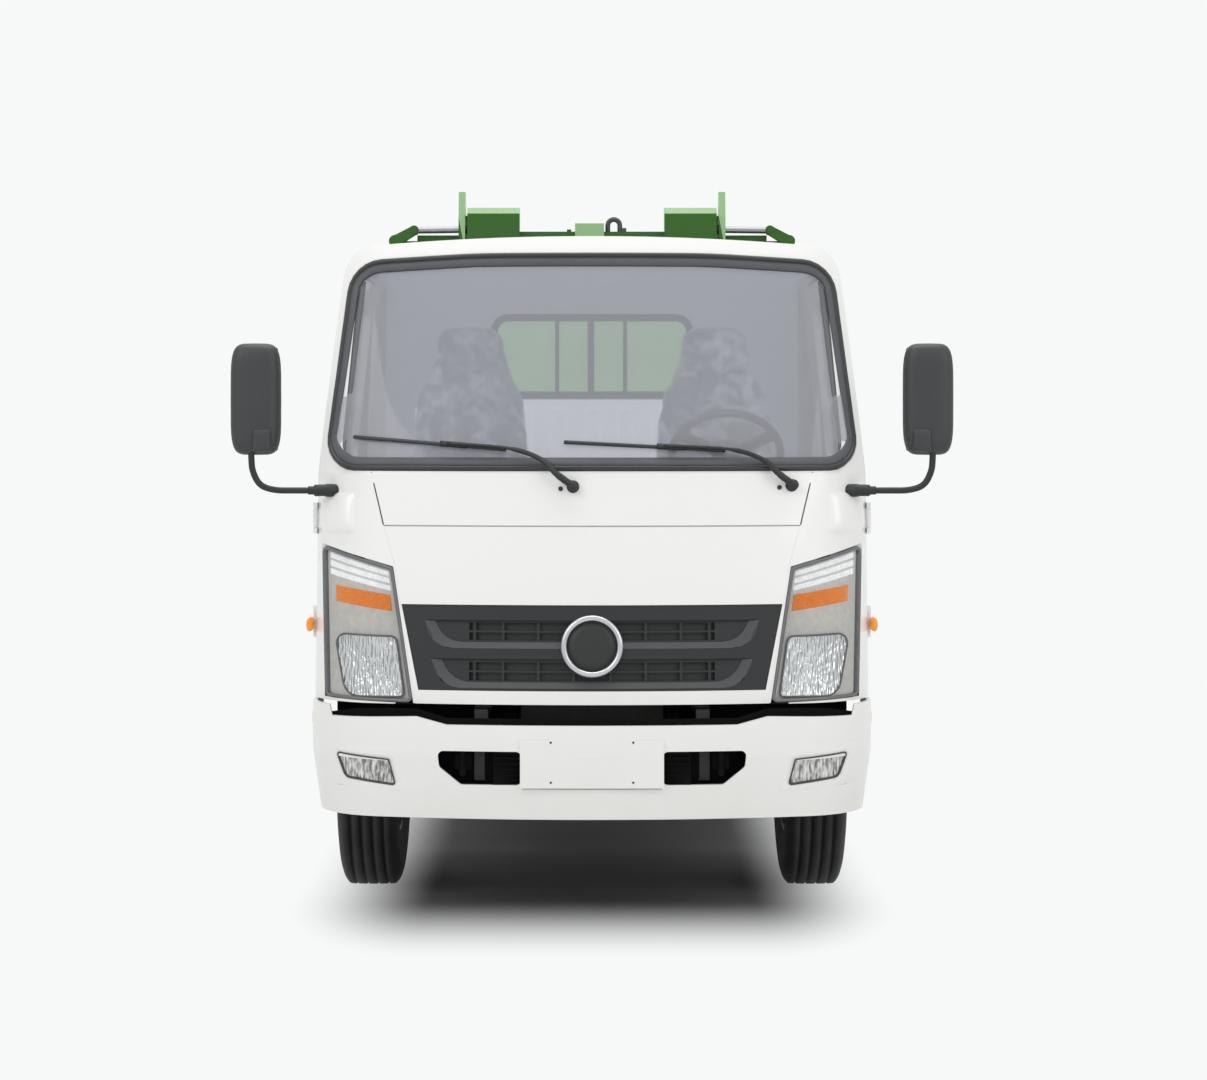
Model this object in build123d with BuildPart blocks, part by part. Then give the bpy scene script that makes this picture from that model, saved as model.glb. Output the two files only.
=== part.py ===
from build123d import *
import math
import os

# Sealed tipping refuse truck on a narrow cab-over chassis, in millimetres.
# +Z is up, the truck faces -Y, +X is its left (driver's) side, and the ground is z = 0.
# Places along the truck are given as "s", the distance aft of the bumper's front face.

# ---------------------------------------------------------------- driving dimensions
OVERALL_LENGTH = 5200.0
WHEELBASE = 2800.0
FRONT_OVERHANG = 1030.0
FRONT_TRACK = 1450.0
REAR_TRACK = 1420.0
TWIN_SPACING = 226.0

TYRE_RADIUS = 385.0
TYRE_WIDTH = 196.0
BEAD_RADIUS = 205.0
RIM_WIDTH = 150.0
RIM_WALL = 9.0
HUB_RADIUS = 72.0

FRAME_WIDTH = 700.0
FRAME_TOP = 700.0
RAIL_HEIGHT = 160.0
RAIL_FLANGE = 60.0
RAIL_WALL = 7.0

CAB_WIDTH = 1700.0
CAB_NOSE_S = 45.0
CAB_REAR_S = 1640.0
CAB_BOTTOM = 695.0
CAB_BELT = 1380.0
CAB_ROOF = 2118.0
CAB_WALL = 40.0
CAB_REAR_BOTTOM = 780.0
NOSE_RAKE = 85.0
WINDSCREEN_TOP = 2060.0
WINDSCREEN_RAKE = 300.0
DECK_TOP = 1025.0
FLOOR_TOP = 735.0
PANEL = 25.0
SEAM = 5.0
FIT = 0.3

TANK_WIDTH = 1800.0
TANK_FRONT_S = 1790.0
TANK_REAR_S = 4790.0
TANK_FLOOR = 880.0
TANK_EAVE = 2010.0
TANK_ROOF = 2170.0
TANK_WALL = 30.0
HATCH_HALF = 720.0
TIP_S = 4560.0
TIP_Z = 800.0

FRONT_AXLE_S = FRONT_OVERHANG
REAR_AXLE_S = FRONT_OVERHANG + WHEELBASE


def aft(s):
    """Y of a place s millimetres aft of the bumper's front face."""
    return s - OVERALL_LENGTH / 2


def block(x, s, z, mode=Mode.ADD):
    """A box between two x, two s and two z values, in the open part."""
    middle = ((x[0] + x[1]) / 2, aft((s[0] + s[1]) / 2), (z[0] + z[1]) / 2)
    with Locations(middle):
        Box(x[1] - x[0], s[1] - s[0], z[1] - z[0], mode=mode)


def rod_x(x, s, z, radius, mode=Mode.ADD):
    """A round bar or bore along X."""
    with Locations(Location(((x[0] + x[1]) / 2, aft(s), z), (0, 90, 0))):
        Cylinder(radius, x[1] - x[0], mode=mode)


def rod_s(x, s, z, radius, mode=Mode.ADD):
    """A round bar or bore along the truck."""
    with Locations(Location((x, aft((s[0] + s[1]) / 2), z), (90, 0, 0))):
        Cylinder(radius, s[1] - s[0], mode=mode)


def rod_z(x, s, z, radius, mode=Mode.ADD):
    """A round bar or bore along Z."""
    with Locations((x, aft(s), (z[0] + z[1]) / 2)):
        Cylinder(radius, z[1] - z[0], mode=mode)


def bar_between(start, end, radius, mode=Mode.ADD):
    """A round bar from one (x, s, z) to another."""
    a = Vector(start[0], aft(start[1]), start[2])
    b = Vector(end[0], aft(end[1]), end[2])
    with Locations(Plane(origin=a, z_dir=b - a).location):
        Cylinder(radius, (b - a).length, align=(Align.CENTER, Align.CENTER, Align.MIN), mode=mode)


def side_prism(points, x, radius=0.0, mode=Mode.ADD):
    """A prism across the truck with an (s, z) outline, between two x values."""
    with BuildSketch(Plane.YZ.offset(x[0])) as outline:
        with BuildLine():
            Polyline([(aft(s), z) for s, z in points], close=True)
        make_face()
        if radius:
            fillet(outline.vertices(), radius)
    extrude(outline.sketch, amount=x[1] - x[0], mode=mode)


def front_prism(points, s, radius=0.0, grow=0.0, mode=Mode.ADD):
    """A prism along the truck with an (x, z) outline, between two s values."""
    with BuildSketch(Plane.XZ.offset(-aft(s[1]))) as outline:
        with BuildLine():
            Polyline(points, close=True)
        make_face()
        if radius:
            fillet(outline.vertices(), radius)
        if grow:
            offset(amount=grow, kind=Kind.INTERSECTION)
    extrude(outline.sketch, amount=s[1] - s[0], mode=mode)


def mirrored(points):
    """The points and their mirror images across x = 0, as one closed outline."""
    return points + [(-x, z) for x, z in reversed(points)]


def save(part, label):
    """Names a finished piece and writes its STEP file."""
    part.label = label
    export_step(part, f"parts/{label}.step")


os.makedirs("parts", exist_ok=True)

# ---------------------------------------------------------------- cab form
BOW = 75.0            # how far the front is bowed at the corner's start
CORNER_X = 640.0      # where the bowed front meets the corner arc
CORNER_DEPTH = 215.0  # length of the corner arc along the truck
ROOF_HALF = 787.0     # half width of the cab at the windscreen's top
ROOF_CORNER = 105.0
ROOF_CROWN = 30.0     # how far the roof falls from its middle to its sides
WINDSCREEN_RISE = WINDSCREEN_TOP - CAB_BELT
BELT_NOSE_S = CAB_NOSE_S + NOSE_RAKE


def cab_plan(inset, height):
    """Plan outline of the cab at the belt line, drawn on a level plane."""
    half = CAB_WIDTH / 2 - inset
    nose = BELT_NOSE_S + inset
    turn = CORNER_X - inset / 2
    with BuildSketch(Plane.XY.offset(height)) as plan:
        with BuildLine():
            front = ThreePointArc(
                (-turn, aft(nose + BOW)), (0, aft(nose)), (turn, aft(nose + BOW)))
            corner = TangentArc(
                front @ 1, (half, aft(nose + BOW + CORNER_DEPTH)), tangent=front % 1)
            left = Line(corner @ 1, (half, aft(CAB_REAR_S + 600)))
            rear = Line(left @ 1, (-half, aft(CAB_REAR_S + 600)))
            right = Line(rear @ 1, (-half, aft(nose + BOW + CORNER_DEPTH)))
            TangentArc(front @ 0, right @ 1, tangent=-(front % 0))
        make_face()
    return plan.sketch


def cab_form(inset):
    """The cab's closed outer form, drawn in by inset all round apart from its underside."""
    up = Vector(0, WINDSCREEN_RAKE, WINDSCREEN_RISE).normalized()
    down = Vector(0, -NOSE_RAKE, CAB_BOTTOM - CAB_BELT).normalized()
    half = CAB_WIDTH / 2 - inset
    shoulder = ROOF_HALF - inset
    roof = CAB_ROOF - inset
    rear = CAB_REAR_S - inset
    with BuildPart() as form:
        plan = cab_plan(inset, CAB_BELT)
        extrude(plan, amount=1000, dir=up)
        extrude(plan, amount=1200, dir=down)
        with BuildSketch(Plane.XZ.offset(-aft(CAB_REAR_S + 700))) as front:
            with BuildLine():
                Polyline(
                    (-half, 400), (-half, CAB_BELT), (-shoulder, WINDSCREEN_TOP - 70),
                    (-shoulder + 15, roof - ROOF_CROWN))
                ThreePointArc((-shoulder + 15, roof - ROOF_CROWN), (0, roof),
                              (shoulder - 15, roof - ROOF_CROWN))
                Polyline(
                    (shoulder - 15, roof - ROOF_CROWN), (shoulder, WINDSCREEN_TOP - 70),
                    (half, CAB_BELT), (half, 400), (-half, 400))
            make_face()
            top = [v for v in front.vertices() if v.Y > roof - ROOF_CROWN - 1]
            fillet(top, ROOF_CORNER - inset)
        extrude(front.sketch, amount=CAB_REAR_S + 900, mode=Mode.INTERSECT)
        with BuildSketch(Plane.YZ) as side:
            with BuildLine():
                Polyline(
                    (aft(-300), 400), (aft(-300), roof + 5), (aft(1200), roof + 5),
                    (aft(rear), roof - 35), (aft(rear), 400), close=True)
            make_face()
            fillet(side.vertices().sort_by(Axis.Y)[-2:].sort_by(Axis.Z)[-1], 70)
        extrude(side.sketch, amount=CAB_WIDTH, both=True, mode=Mode.INTERSECT)
    return form.part



def nose_s(x, z):
    """Place s of the cab's outer front face at a given x and z, between the corner arcs."""
    radius = (CORNER_X ** 2 + BOW ** 2) / (2 * BOW)
    if z < CAB_BELT:
        base = CAB_NOSE_S + NOSE_RAKE * (z - CAB_BOTTOM) / (CAB_BELT - CAB_BOTTOM)
    else:
        base = BELT_NOSE_S + WINDSCREEN_RAKE * (z - CAB_BELT) / WINDSCREEN_RISE
    return base + radius - math.sqrt(radius ** 2 - x ** 2)


outer = cab_form(0)
inner = cab_form(CAB_WALL)
glass_outer = cab_form(8)
glass_inner = cab_form(14)

# ---------------------------------------------------------------- cab outlines
WINDSCREEN = mirrored([(-770, 1402), (-730, 2034)])
LAMP = [(-829, 1166), (-598, 1102), (-533, 697), (-811, 705)]
HOOD_TOP = (627.0, 1222.0)
GRILLE = mirrored([(-518, 737), (-571, 990)])
GRILLE_HOLE = mirrored([(-500, 752), (-548, 975)])
GRILLE_DEPTH = 22.0
LAMP_REACH = (-50, 330)
PANEL_FOOT = CAB_BOTTOM + 2
FRONT_PANEL = mirrored([
    (LAMP[2][0] + SEAM, PANEL_FOOT), (LAMP[1][0] + SEAM, LAMP[1][1] + SEAM),
    (-HOOD_TOP[0], HOOD_TOP[1])])
GRILLE_RECESSES = (
    mirrored([(-430, 862), (-470, 880), (-500, 945)]),
    mirrored([(-408, 745), (-450, 765), (-479, 831)]))
GRILLE_FLOOR = 13.0
AIR_HOLES = ((885, 937), (766, 820))      # z spans of the open mesh in each recess
AIR_HALF = 366.0
MESH_X = (-350, -265, -160, -55, 55, 160, 265, 350)
REAR_GLASS = mirrored([(-346, 1640), (-346, 1915)])
DOOR = [(405, 790), (405, 1385), (632, 2008), (1290, 2008), (1290, 790)]
DOOR_WINDOW = [(478, 1410), (690, 1950), (1235, 1950), (1235, 1410)]
ARCH_RADIUS = 470.0
DOOR_HINGE_S = 402.0
DOOR_HINGE_X = CAB_WIDTH / 2 + 6
DOOR_HINGES_Z = (920.0, 1240.0)
HINGE_HEIGHT = 60.0
TILT_S = 110.0
TILT_Z = 500.0
FRONT_REACH = (-50, 620)   # how far along the truck the front outlines cut


def flipped(points):
    """An outline's mirror image across x = 0."""
    return [(-x, z) for x, z in reversed(points)]


# ---------------------------------------------------------------- cab shell
with BuildPart() as cabin:
    add(inner)
    block((-900, 900), (-100, 300), (0, 1205), Mode.SUBTRACT)
    block((-900, 900), (0, 1700), (0, FLOOR_TOP), Mode.SUBTRACT)
    block((-310, 310), (250, 700), (0, DECK_TOP), Mode.SUBTRACT)
    block((-900, 900), (650, 1700), (0, DECK_TOP), Mode.SUBTRACT)

with BuildPart() as nose_bay:
    add(inner)
    block((-900, 900), (275, 2500), (0, 2400), Mode.SUBTRACT)
    block((-900, 900), (-200, 600), (1180, 2400), Mode.SUBTRACT)

with BuildPart() as cab_shell:
    add(outer)
    add(cabin.part, mode=Mode.SUBTRACT)
    add(nose_bay.part, mode=Mode.SUBTRACT)
    block((-285, 285), (200, 700), (300, DECK_TOP - PANEL), Mode.SUBTRACT)
    block((-810, 810), (275, 676), (300, FLOOR_TOP - PANEL), Mode.SUBTRACT)
    block((-810, 810), (675, 1600), (300, 780), Mode.SUBTRACT)
    block((-770, 770), (675, 1600), (300, DECK_TOP - PANEL), Mode.SUBTRACT)
    block((-900, 900), (-200, 1900), (300, CAB_BOTTOM), Mode.SUBTRACT)
    block((-900, 900), (1590, 1900), (300, CAB_REAR_BOTTOM), Mode.SUBTRACT)
    rod_x((-900, 900), FRONT_AXLE_S, TYRE_RADIUS, ARCH_RADIUS, Mode.SUBTRACT)
    front_prism(WINDSCREEN, FRONT_REACH, radius=75, mode=Mode.SUBTRACT)
    front_prism(FRONT_PANEL, (-50, 250), grow=FIT, mode=Mode.SUBTRACT)
    block((-534, 534), (-50, 250), (CAB_BOTTOM - 5, CAB_BOTTOM + 3), Mode.SUBTRACT)
    for lamp in (LAMP, flipped(LAMP)):
        front_prism(lamp, LAMP_REACH, grow=FIT, mode=Mode.SUBTRACT)
    front_prism(REAR_GLASS, (1580, 1660), radius=60, mode=Mode.SUBTRACT)
    for x in ((600, 900), (-900, -600)):
        with BuildSketch(Plane.YZ.offset(x[0])) as door_hole:
            with BuildLine():
                Polyline([(aft(s), z) for s, z in DOOR], close=True)
            make_face()
            fillet(door_hole.vertices().group_by(Axis.Y)[-1], 45)
            offset(amount=SEAM, kind=Kind.INTERSECTION)
            with Locations((aft(FRONT_AXLE_S), TYRE_RADIUS)):
                Circle(ARCH_RADIUS + 30, mode=Mode.SUBTRACT)
        extrude(amount=300, mode=Mode.SUBTRACT)
    for side in (-1, 1):
        for z in DOOR_HINGES_Z:
            low, high = z - HINGE_HEIGHT / 2, z + HINGE_HEIGHT / 2
            x = side * DOOR_HINGE_X
            rod_z(x, DOOR_HINGE_S, (low - 20, high + 20), 10.5, Mode.SUBTRACT)
            for part_low, part_high in ((low - 18, low - 1), (high + 1, high + 18)):
                rod_z(x, DOOR_HINGE_S, (part_low, part_high), 9)
                block(sorted((side * 849, x)), (370, DOOR_HINGE_S), (part_low, part_high))
            rod_z(x, DOOR_HINGE_S, (low - 10, high + 10), 5)
        arm = sorted((side * 230, side * 262))
        side_prism([(TILT_S - 22, TILT_Z), (TILT_S - 27, TILT_Z + 60), (TILT_S + 62, TILT_Z + 168),
                    (TILT_S + 62, FLOOR_TOP - 5), (300, FLOOR_TOP - 5), (300, 690),
                    (TILT_S + 112, TILT_Z + 150), (TILT_S + 75, TILT_Z + 110),
                    (TILT_S + 20, TILT_Z + 40), (TILT_S + 22, TILT_Z)], arm)
        block(sorted((side * 230, side * 330)), (270, 300), (FLOOR_TOP - PANEL, FLOOR_TOP - 5))
        rod_x(arm, TILT_S, TILT_Z, 30)
        rod_x(arm, TILT_S, TILT_Z, 15.3, Mode.SUBTRACT)
save(cab_shell.part, "cab_shell")

# ---------------------------------------------------------------- doors and glass
for side, name in ((1, "left"), (-1, "right")):
    x_span = sorted((side * 600, side * 900))
    with BuildPart() as door:
        add(outer)
        add(inner, mode=Mode.SUBTRACT)
        with BuildSketch(Plane.YZ.offset(x_span[0])) as leaf:
            with BuildLine():
                Polyline([(aft(s), z) for s, z in DOOR], close=True)
            make_face()
            fillet(leaf.vertices().group_by(Axis.Y)[-1], 40)
            with Locations((aft(FRONT_AXLE_S), TYRE_RADIUS)):
                Circle(ARCH_RADIUS + 30 + SEAM, mode=Mode.SUBTRACT)
        extrude(amount=300, mode=Mode.INTERSECT)
        side_prism(DOOR_WINDOW, x_span, radius=45, mode=Mode.SUBTRACT)
        for z in DOOR_HINGES_Z:
            span = (z - HINGE_HEIGHT / 2, z + HINGE_HEIGHT / 2)
            x = side * DOOR_HINGE_X
            rod_z(x, DOOR_HINGE_S, (span[0] - 20, span[1] + 20), 10.5, Mode.SUBTRACT)
            rod_z(x, DOOR_HINGE_S, span, 9)
            block(sorted((side * 849, x)), (DOOR_HINGE_S, 440), span)
            rod_z(x, DOOR_HINGE_S, span, 5.3, Mode.SUBTRACT)
    save(door.part, f"door_{name}")

    with BuildPart() as door_glass:
        add(glass_outer)
        add(glass_inner, mode=Mode.SUBTRACT)
        side_prism(DOOR_WINDOW, x_span, radius=45, mode=Mode.INTERSECT)
    save(door_glass.part, f"door_glass_{name}")

with BuildPart() as windscreen:
    add(glass_outer)
    add(glass_inner, mode=Mode.SUBTRACT)
    front_prism(WINDSCREEN, FRONT_REACH, radius=75, mode=Mode.INTERSECT)
save(windscreen.part, "windscreen")

with BuildPart() as rear_window:
    front_prism(REAR_GLASS, (1612, 1618), radius=60)
save(rear_window.part, "rear_window")

# ---------------------------------------------------------------- cab front
with BuildPart() as grille_space:
    add(outer)
    add(cab_form(GRILLE_DEPTH), mode=Mode.SUBTRACT)
    front_prism(GRILLE, (-50, 250), grow=FIT, mode=Mode.INTERSECT)

with BuildPart() as front_panel:
    add(outer)
    add(inner, mode=Mode.SUBTRACT)
    front_prism(FRONT_PANEL, (-50, 250), mode=Mode.INTERSECT)
    add(grille_space.part, mode=Mode.SUBTRACT)
    front_prism(GRILLE_HOLE, (-50, 250), mode=Mode.SUBTRACT)
save(front_panel.part, "front_panel")

with BuildPart() as recesses:
    for outline in GRILLE_RECESSES:
        front_prism(outline, (-50, 250))
    add(cab_form(GRILLE_FLOOR), mode=Mode.SUBTRACT)

with BuildPart() as mesh:
    for low, high in AIR_HOLES:
        middle = (low + high) / 2
        block((-AIR_HALF - 5, AIR_HALF + 5), (-50, 250), (middle - 3, middle + 3))
        for x in MESH_X:
            block((x - 4, x + 4), (-50, 250), (low - 5, high + 5))
    add(cab_form(GRILLE_FLOOR + 1), mode=Mode.INTERSECT)

with BuildPart() as air_holes:
    for span in AIR_HOLES:
        block((-AIR_HALF, AIR_HALF), (-50, 250), span)
    add(mesh.part, mode=Mode.SUBTRACT)

with BuildPart() as grille:
    add(cab_form(3))
    add(cab_form(GRILLE_DEPTH - FIT), mode=Mode.SUBTRACT)
    front_prism(GRILLE, (-50, 250), mode=Mode.INTERSECT)
    add(recesses.part, mode=Mode.SUBTRACT)
    add(air_holes.part, mode=Mode.SUBTRACT)
save(grille.part, "grille")

with BuildPart() as headlamps:
    add(cab_form(2))
    add(inner, mode=Mode.SUBTRACT)
    with BuildSketch(Plane.XZ.offset(-aft(LAMP_REACH[1]))) as lamp_faces:
        for lamp in (LAMP, flipped(LAMP)):
            with BuildLine():
                Polyline(lamp, close=True)
            make_face()
    extrude(amount=LAMP_REACH[1] - LAMP_REACH[0], mode=Mode.INTERSECT)
save(headlamps.part, "headlamps")

# ---------------------------------------------------------------- bumper and fog lamps
BUMPER_LOW = 360.0
BUMPER_KNEE = 545.0     # below this the bumper draws in towards its foot
BUMPER_DRAW = 26.0
BUMPER_TOP = 640.0
BUMPER_SHOULDER = 663.0
BUMPER_END_TOP = CAB_BOTTOM - 7
BUMPER_SKIN = 14.0
BUMPER_HALF = 854.0
BUMPER_REAR_S = 480.0
RAIL_FRONT_S = 80.0
MOUTH = [(-458, 563), (-453, 515), (-388, 463), (-209, 463), (-209, 563)]
FOG_LAMP = [(-774, 536), (-575, 528), (-590, 443), (-765, 449)]
PLATE_HALF_X = 121.5
PLATE_HOLES_Z = (473.0, 591.0)
PLATE_HOLE = 3.5


def bumper_plan(inset, height):
    """Plan outline of the bumper, drawn in by inset, on a level plane."""
    half = BUMPER_HALF - inset
    with BuildSketch(Plane.XY.offset(height)) as plan:
        with BuildLine():
            front = ThreePointArc((-640, aft(BOW + inset)), (0, aft(inset)), (640, aft(BOW + inset)))
            corner = TangentArc(front @ 1, (half, aft(BOW + 225)), tangent=front % 1)
            left = Line(corner @ 1, (half, aft(BUMPER_REAR_S)))
            rear = Line(left @ 1, (-half, aft(BUMPER_REAR_S)))
            right = Line(rear @ 1, (-half, aft(BOW + 225)))
            TangentArc(front @ 0, right @ 1, tangent=-(front % 0))
        make_face()
    return plan.sketch


def bumper_form(inset):
    """The bumper's closed form, drawn in by inset, upright above its knee."""
    with BuildPart() as form:
        extrude(bumper_plan(inset, BUMPER_KNEE), amount=BUMPER_END_TOP - BUMPER_KNEE)
        loft([bumper_plan(inset + BUMPER_DRAW, BUMPER_LOW), bumper_plan(inset, BUMPER_KNEE)],
             ruled=True)
    return form.part


bumper_outer = bumper_form(0)
bumper_inner = bumper_form(BUMPER_SKIN)

with BuildPart() as bumper:
    add(bumper_outer)
    add(bumper_inner, mode=Mode.SUBTRACT)
    front_prism(
        mirrored([(-430, BUMPER_TOP), (-520, BUMPER_SHOULDER), (-781, BUMPER_SHOULDER - 8),
                  (-790, BUMPER_END_TOP + 5)]), (-50, 240), mode=Mode.SUBTRACT)
    for mouth in (MOUTH, flipped(MOUTH)):
        front_prism(mouth, (-50, 120), radius=16, mode=Mode.SUBTRACT)
    for lamp in (FOG_LAMP, flipped(FOG_LAMP)):
        front_prism(lamp, (-50, 420), grow=FIT, mode=Mode.SUBTRACT)
    block((-212, 212), (1, 22), (456, 597))
    for x in (-PLATE_HALF_X, PLATE_HALF_X):
        for z in PLATE_HOLES_Z:
            rod_s(x, (-5, 60), z, PLATE_HOLE, Mode.SUBTRACT)
    for side in (-1, 1):
        block(sorted((side * 296, side * 346)), (24, RAIL_FRONT_S - FIT), (568, 640))
save(bumper.part, "bumper")

with BuildPart() as fog_lamps:
    add(bumper_form(4))
    add(bumper_form(60), mode=Mode.SUBTRACT)
    with BuildSketch(Plane.XZ.offset(-aft(420))) as fog_faces:
        for lamp in (FOG_LAMP, flipped(FOG_LAMP)):
            with BuildLine():
                Polyline(lamp, close=True)
            make_face()
    extrude(amount=470, mode=Mode.INTERSECT)
save(fog_lamps.part, "fog_lamps")

# ---------------------------------------------------------------- chassis frame
RAIL_REAR_S = 4700.0
CROSS_S = (2080.0, 2760.0, 3350.0, 4250.0, 4660.0)
CAB_REST_S = (1592.0, 1638.0)
SUBFRAME_TOP = 780.0
SUBFRAME_FRONT_S = 1850.0
SUBFRAME_REAR_S = 4500.0
SILL = (295.0, 345.0)
HOIST_S = 3350.0
HOIST_Z = 640.0
TIP_PIN = 20.0
RAIL_LOW = FRAME_TOP - RAIL_HEIGHT
HALF_FRAME = FRAME_WIDTH / 2

with BuildPart() as chassis:
    for side in (-1, 1):
        block(sorted((side * (HALF_FRAME - RAIL_WALL), side * HALF_FRAME)),
              (RAIL_FRONT_S, RAIL_REAR_S), (RAIL_LOW, FRAME_TOP))
        for z in (RAIL_LOW, FRAME_TOP - RAIL_WALL):
            block(sorted((side * (HALF_FRAME - RAIL_FLANGE), side * HALF_FRAME)),
                  (RAIL_FRONT_S, RAIL_REAR_S), (z, z + RAIL_WALL))
        block(sorted((side * 310, side * HALF_FRAME)), (RAIL_FRONT_S, 150), (470, FRAME_TOP))
        block(sorted((side * 343, side * 376)), (4500, 4640), (580, FRAME_TOP))
        block(sorted((side * 354, side * 376)), (4505, 4620), (FRAME_TOP - 10, 840))
    block((-360, 360), (70, 125), (680, FRAME_TOP + 5), Mode.SUBTRACT)
    rod_x((-330, 330), TILT_S, TILT_Z, 15)
    rod_x((-370, 370), TIP_S, TIP_Z, TIP_PIN)
    block((-345, 345), (195, 255), (RAIL_LOW, 596))
    for s in CROSS_S:
        block((-345, 345), (s - 28, s + 28), (FRAME_TOP - 66, FRAME_TOP - 10))
    block((-345, 345), CAB_REST_S, (FRAME_TOP - 4, CAB_REAR_BOTTOM - FIT))
    for side in (-1, 1):
        block(sorted((side * 84, side * 106)), (HOIST_S - 60, HOIST_S + 40), (590, FRAME_TOP - 20))
    rod_x((-106, 106), HOIST_S, HOIST_Z, 16)
    block((-83, 83), (HOIST_S - 60, HOIST_S + 60), (FRAME_TOP - 80, FRAME_TOP), Mode.SUBTRACT)
    rod_x((-84, 84), HOIST_S, HOIST_Z, 16)
save(chassis.part, "chassis")

with BuildPart() as subframe:
    for side in (-1, 1):
        block(sorted((side * SILL[0], side * SILL[1])), (SUBFRAME_FRONT_S, SUBFRAME_REAR_S),
              (FRAME_TOP, SUBFRAME_TOP))
    for s in (1900, 2300, 3560, 4380):
        block((-SILL[0] - 10, SILL[0] + 10), (s - 20, s + 20), (FRAME_TOP + 2, FRAME_TOP + 42))
save(subframe.part, "subframe")

with BuildPart() as tail_bar:
    block((-860, 860), (4640, 4700), (430, 530))
    for side in (-1, 1):
        block(sorted((side * HALF_FRAME, side * (HALF_FRAME + 12))), (4645, 4695), (500, 690))
        block(sorted((side * 560, side * 800)), (4700, 4722), (440, 520))
save(tail_bar.part, "tail_bar")

# ---------------------------------------------------------------- driveline and chassis boxes
with BuildPart() as driveline:
    block((-230, 230), (700, 1450), (450, 950))
    with Locations(Location((0, aft(1440), 545), (-90, 0, 0))):
        Cone(145, 90, 560, align=(Align.CENTER, Align.CENTER, Align.MIN))
    bar_between((0, 1990, 545), (0, REAR_AXLE_S - 200, 405), 38)
    block((-215, 215), (200, 250), (596, 985))
    bar_between((0, 240, 760), (0, 720, 760), 60)
save(driveline.part, "driveline")

with BuildPart() as fuel_tank:
    block((-700, -390), (1850, 2650), (430, 690))
    fillet(fuel_tank.edges().filter_by(Axis.Y), 45)
    for s in (2000, 2460):
        block((-392, -350), (s - 20, s + 20), (560, 690))
save(fuel_tank.part, "fuel_tank")

with BuildPart() as battery_box:
    block((390, 700), (1850, 2230), (460, 690))
    fillet(battery_box.edges().filter_by(Axis.Z), 15)
    block((350, 392), (1900, 2190), (560, 600))
save(battery_box.part, "battery_box")

with BuildPart() as exhaust:
    rod_s(480, (2400, 3000), 560, 85)
    rod_s(480, (2360, 3120), 560, 28)
    for s in (2500, 2880):
        block((HALF_FRAME, 470), (s - 12, s + 12), (596, 630))
    bar_between((480, 3105, 560), (640, 3200, 470), 27)
    bar_between((480, 2375, 560), (250, 2200, 440), 27)
    bar_between((250, 2210, 440), (250, 1700, 440), 27)
    bar_between((250, 1712, 440), (204, 1462, 480), 27)
save(exhaust.part, "exhaust")

GUARD_S = (2080.0, 3340.0)
with BuildPart() as side_guards:
    for side in (-1, 1):
        for z in (470, 640):
            block(sorted((side * 868, side * 893)), GUARD_S, (z, z + 60))
        for s in (2150, 3250):
            block(sorted((side * 848, side * 868)), (s - 20, s + 20), (470, 760))
            block(sorted((side * HALF_FRAME, side * 868)), (s - 20, s + 20), (720, 760))
            block(sorted((side * HALF_FRAME, side * (HALF_FRAME + 10))), (s - 20, s + 20), (600, 760))
save(side_guards.part, "side_guards")

# ---------------------------------------------------------------- axles and springs
KINGPIN_X = 600.0
KINGPIN = 17.0
STUB = 28.0
HUB_CLEAR = 0.3
REAR_HUB_X = 640.0
SPRING_X = (292.0, 348.0)
REAR_SPRING_X = (372.0, 436.0)

with BuildPart() as front_axle:
    block((-500, 500), (FRONT_AXLE_S - 32, FRONT_AXLE_S + 32), (290, 352))
    for side in (-1, 1):
        side_span = sorted((side * 430, side * KINGPIN_X))
        block(side_span, (FRONT_AXLE_S - 28, FRONT_AXLE_S + 28), (346, 425))
        rod_z(side * KINGPIN_X, FRONT_AXLE_S, (345, 425), 34)
        rod_z(side * KINGPIN_X, FRONT_AXLE_S, (305, 465), KINGPIN)
        block(sorted((side * SPRING_X[0], side * SPRING_X[1])), (FRONT_AXLE_S - 50, FRONT_AXLE_S + 50),
              (350, 380))
save(front_axle.part, "front_axle")

with BuildPart() as rear_axle:
    rod_x((-REAR_HUB_X, REAR_HUB_X), REAR_AXLE_S, TYRE_RADIUS, 55)
    with Locations((0, aft(REAR_AXLE_S), TYRE_RADIUS)):
        Sphere(150)
    rod_s(0, (REAR_AXLE_S - 190, REAR_AXLE_S), TYRE_RADIUS, 70)
    rod_x((-800, 800), REAR_AXLE_S, TYRE_RADIUS, STUB)
    for side in (-1, 1):
        block(sorted((side * REAR_SPRING_X[0], side * REAR_SPRING_X[1])),
              (REAR_AXLE_S - 60, REAR_AXLE_S + 60), (400, 450))
save(rear_axle.part, "rear_axle")


LEAF = 11.0


def spring_outline(middle_s, seat_z, half_length, eye_z, leaves):
    """The (s, z) outline of a stack of curved leaves, stepped where each leaf ends."""
    rise = eye_z - seat_z - leaves * LEAF

    def top(share):
        return seat_z + leaves * LEAF + rise * share ** 2

    upper = [(share, top(share)) for share in (0.35, 0.7, 1.0)]
    lower = [(1.0, top(1.0) - LEAF)]
    for leaf in range(1, leaves):
        end = 1 - 0.8 * leaf / leaves
        lower += [(end, top(end) - leaf * LEAF), (end, top(end) - (leaf + 1) * LEAF)]
    right = [(0, top(0))] + upper + lower + [(0, seat_z)]
    left = [(-share, z) for share, z in reversed(right[1:-1])]
    return [(middle_s + share * half_length, z) for share, z in right + left]


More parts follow.
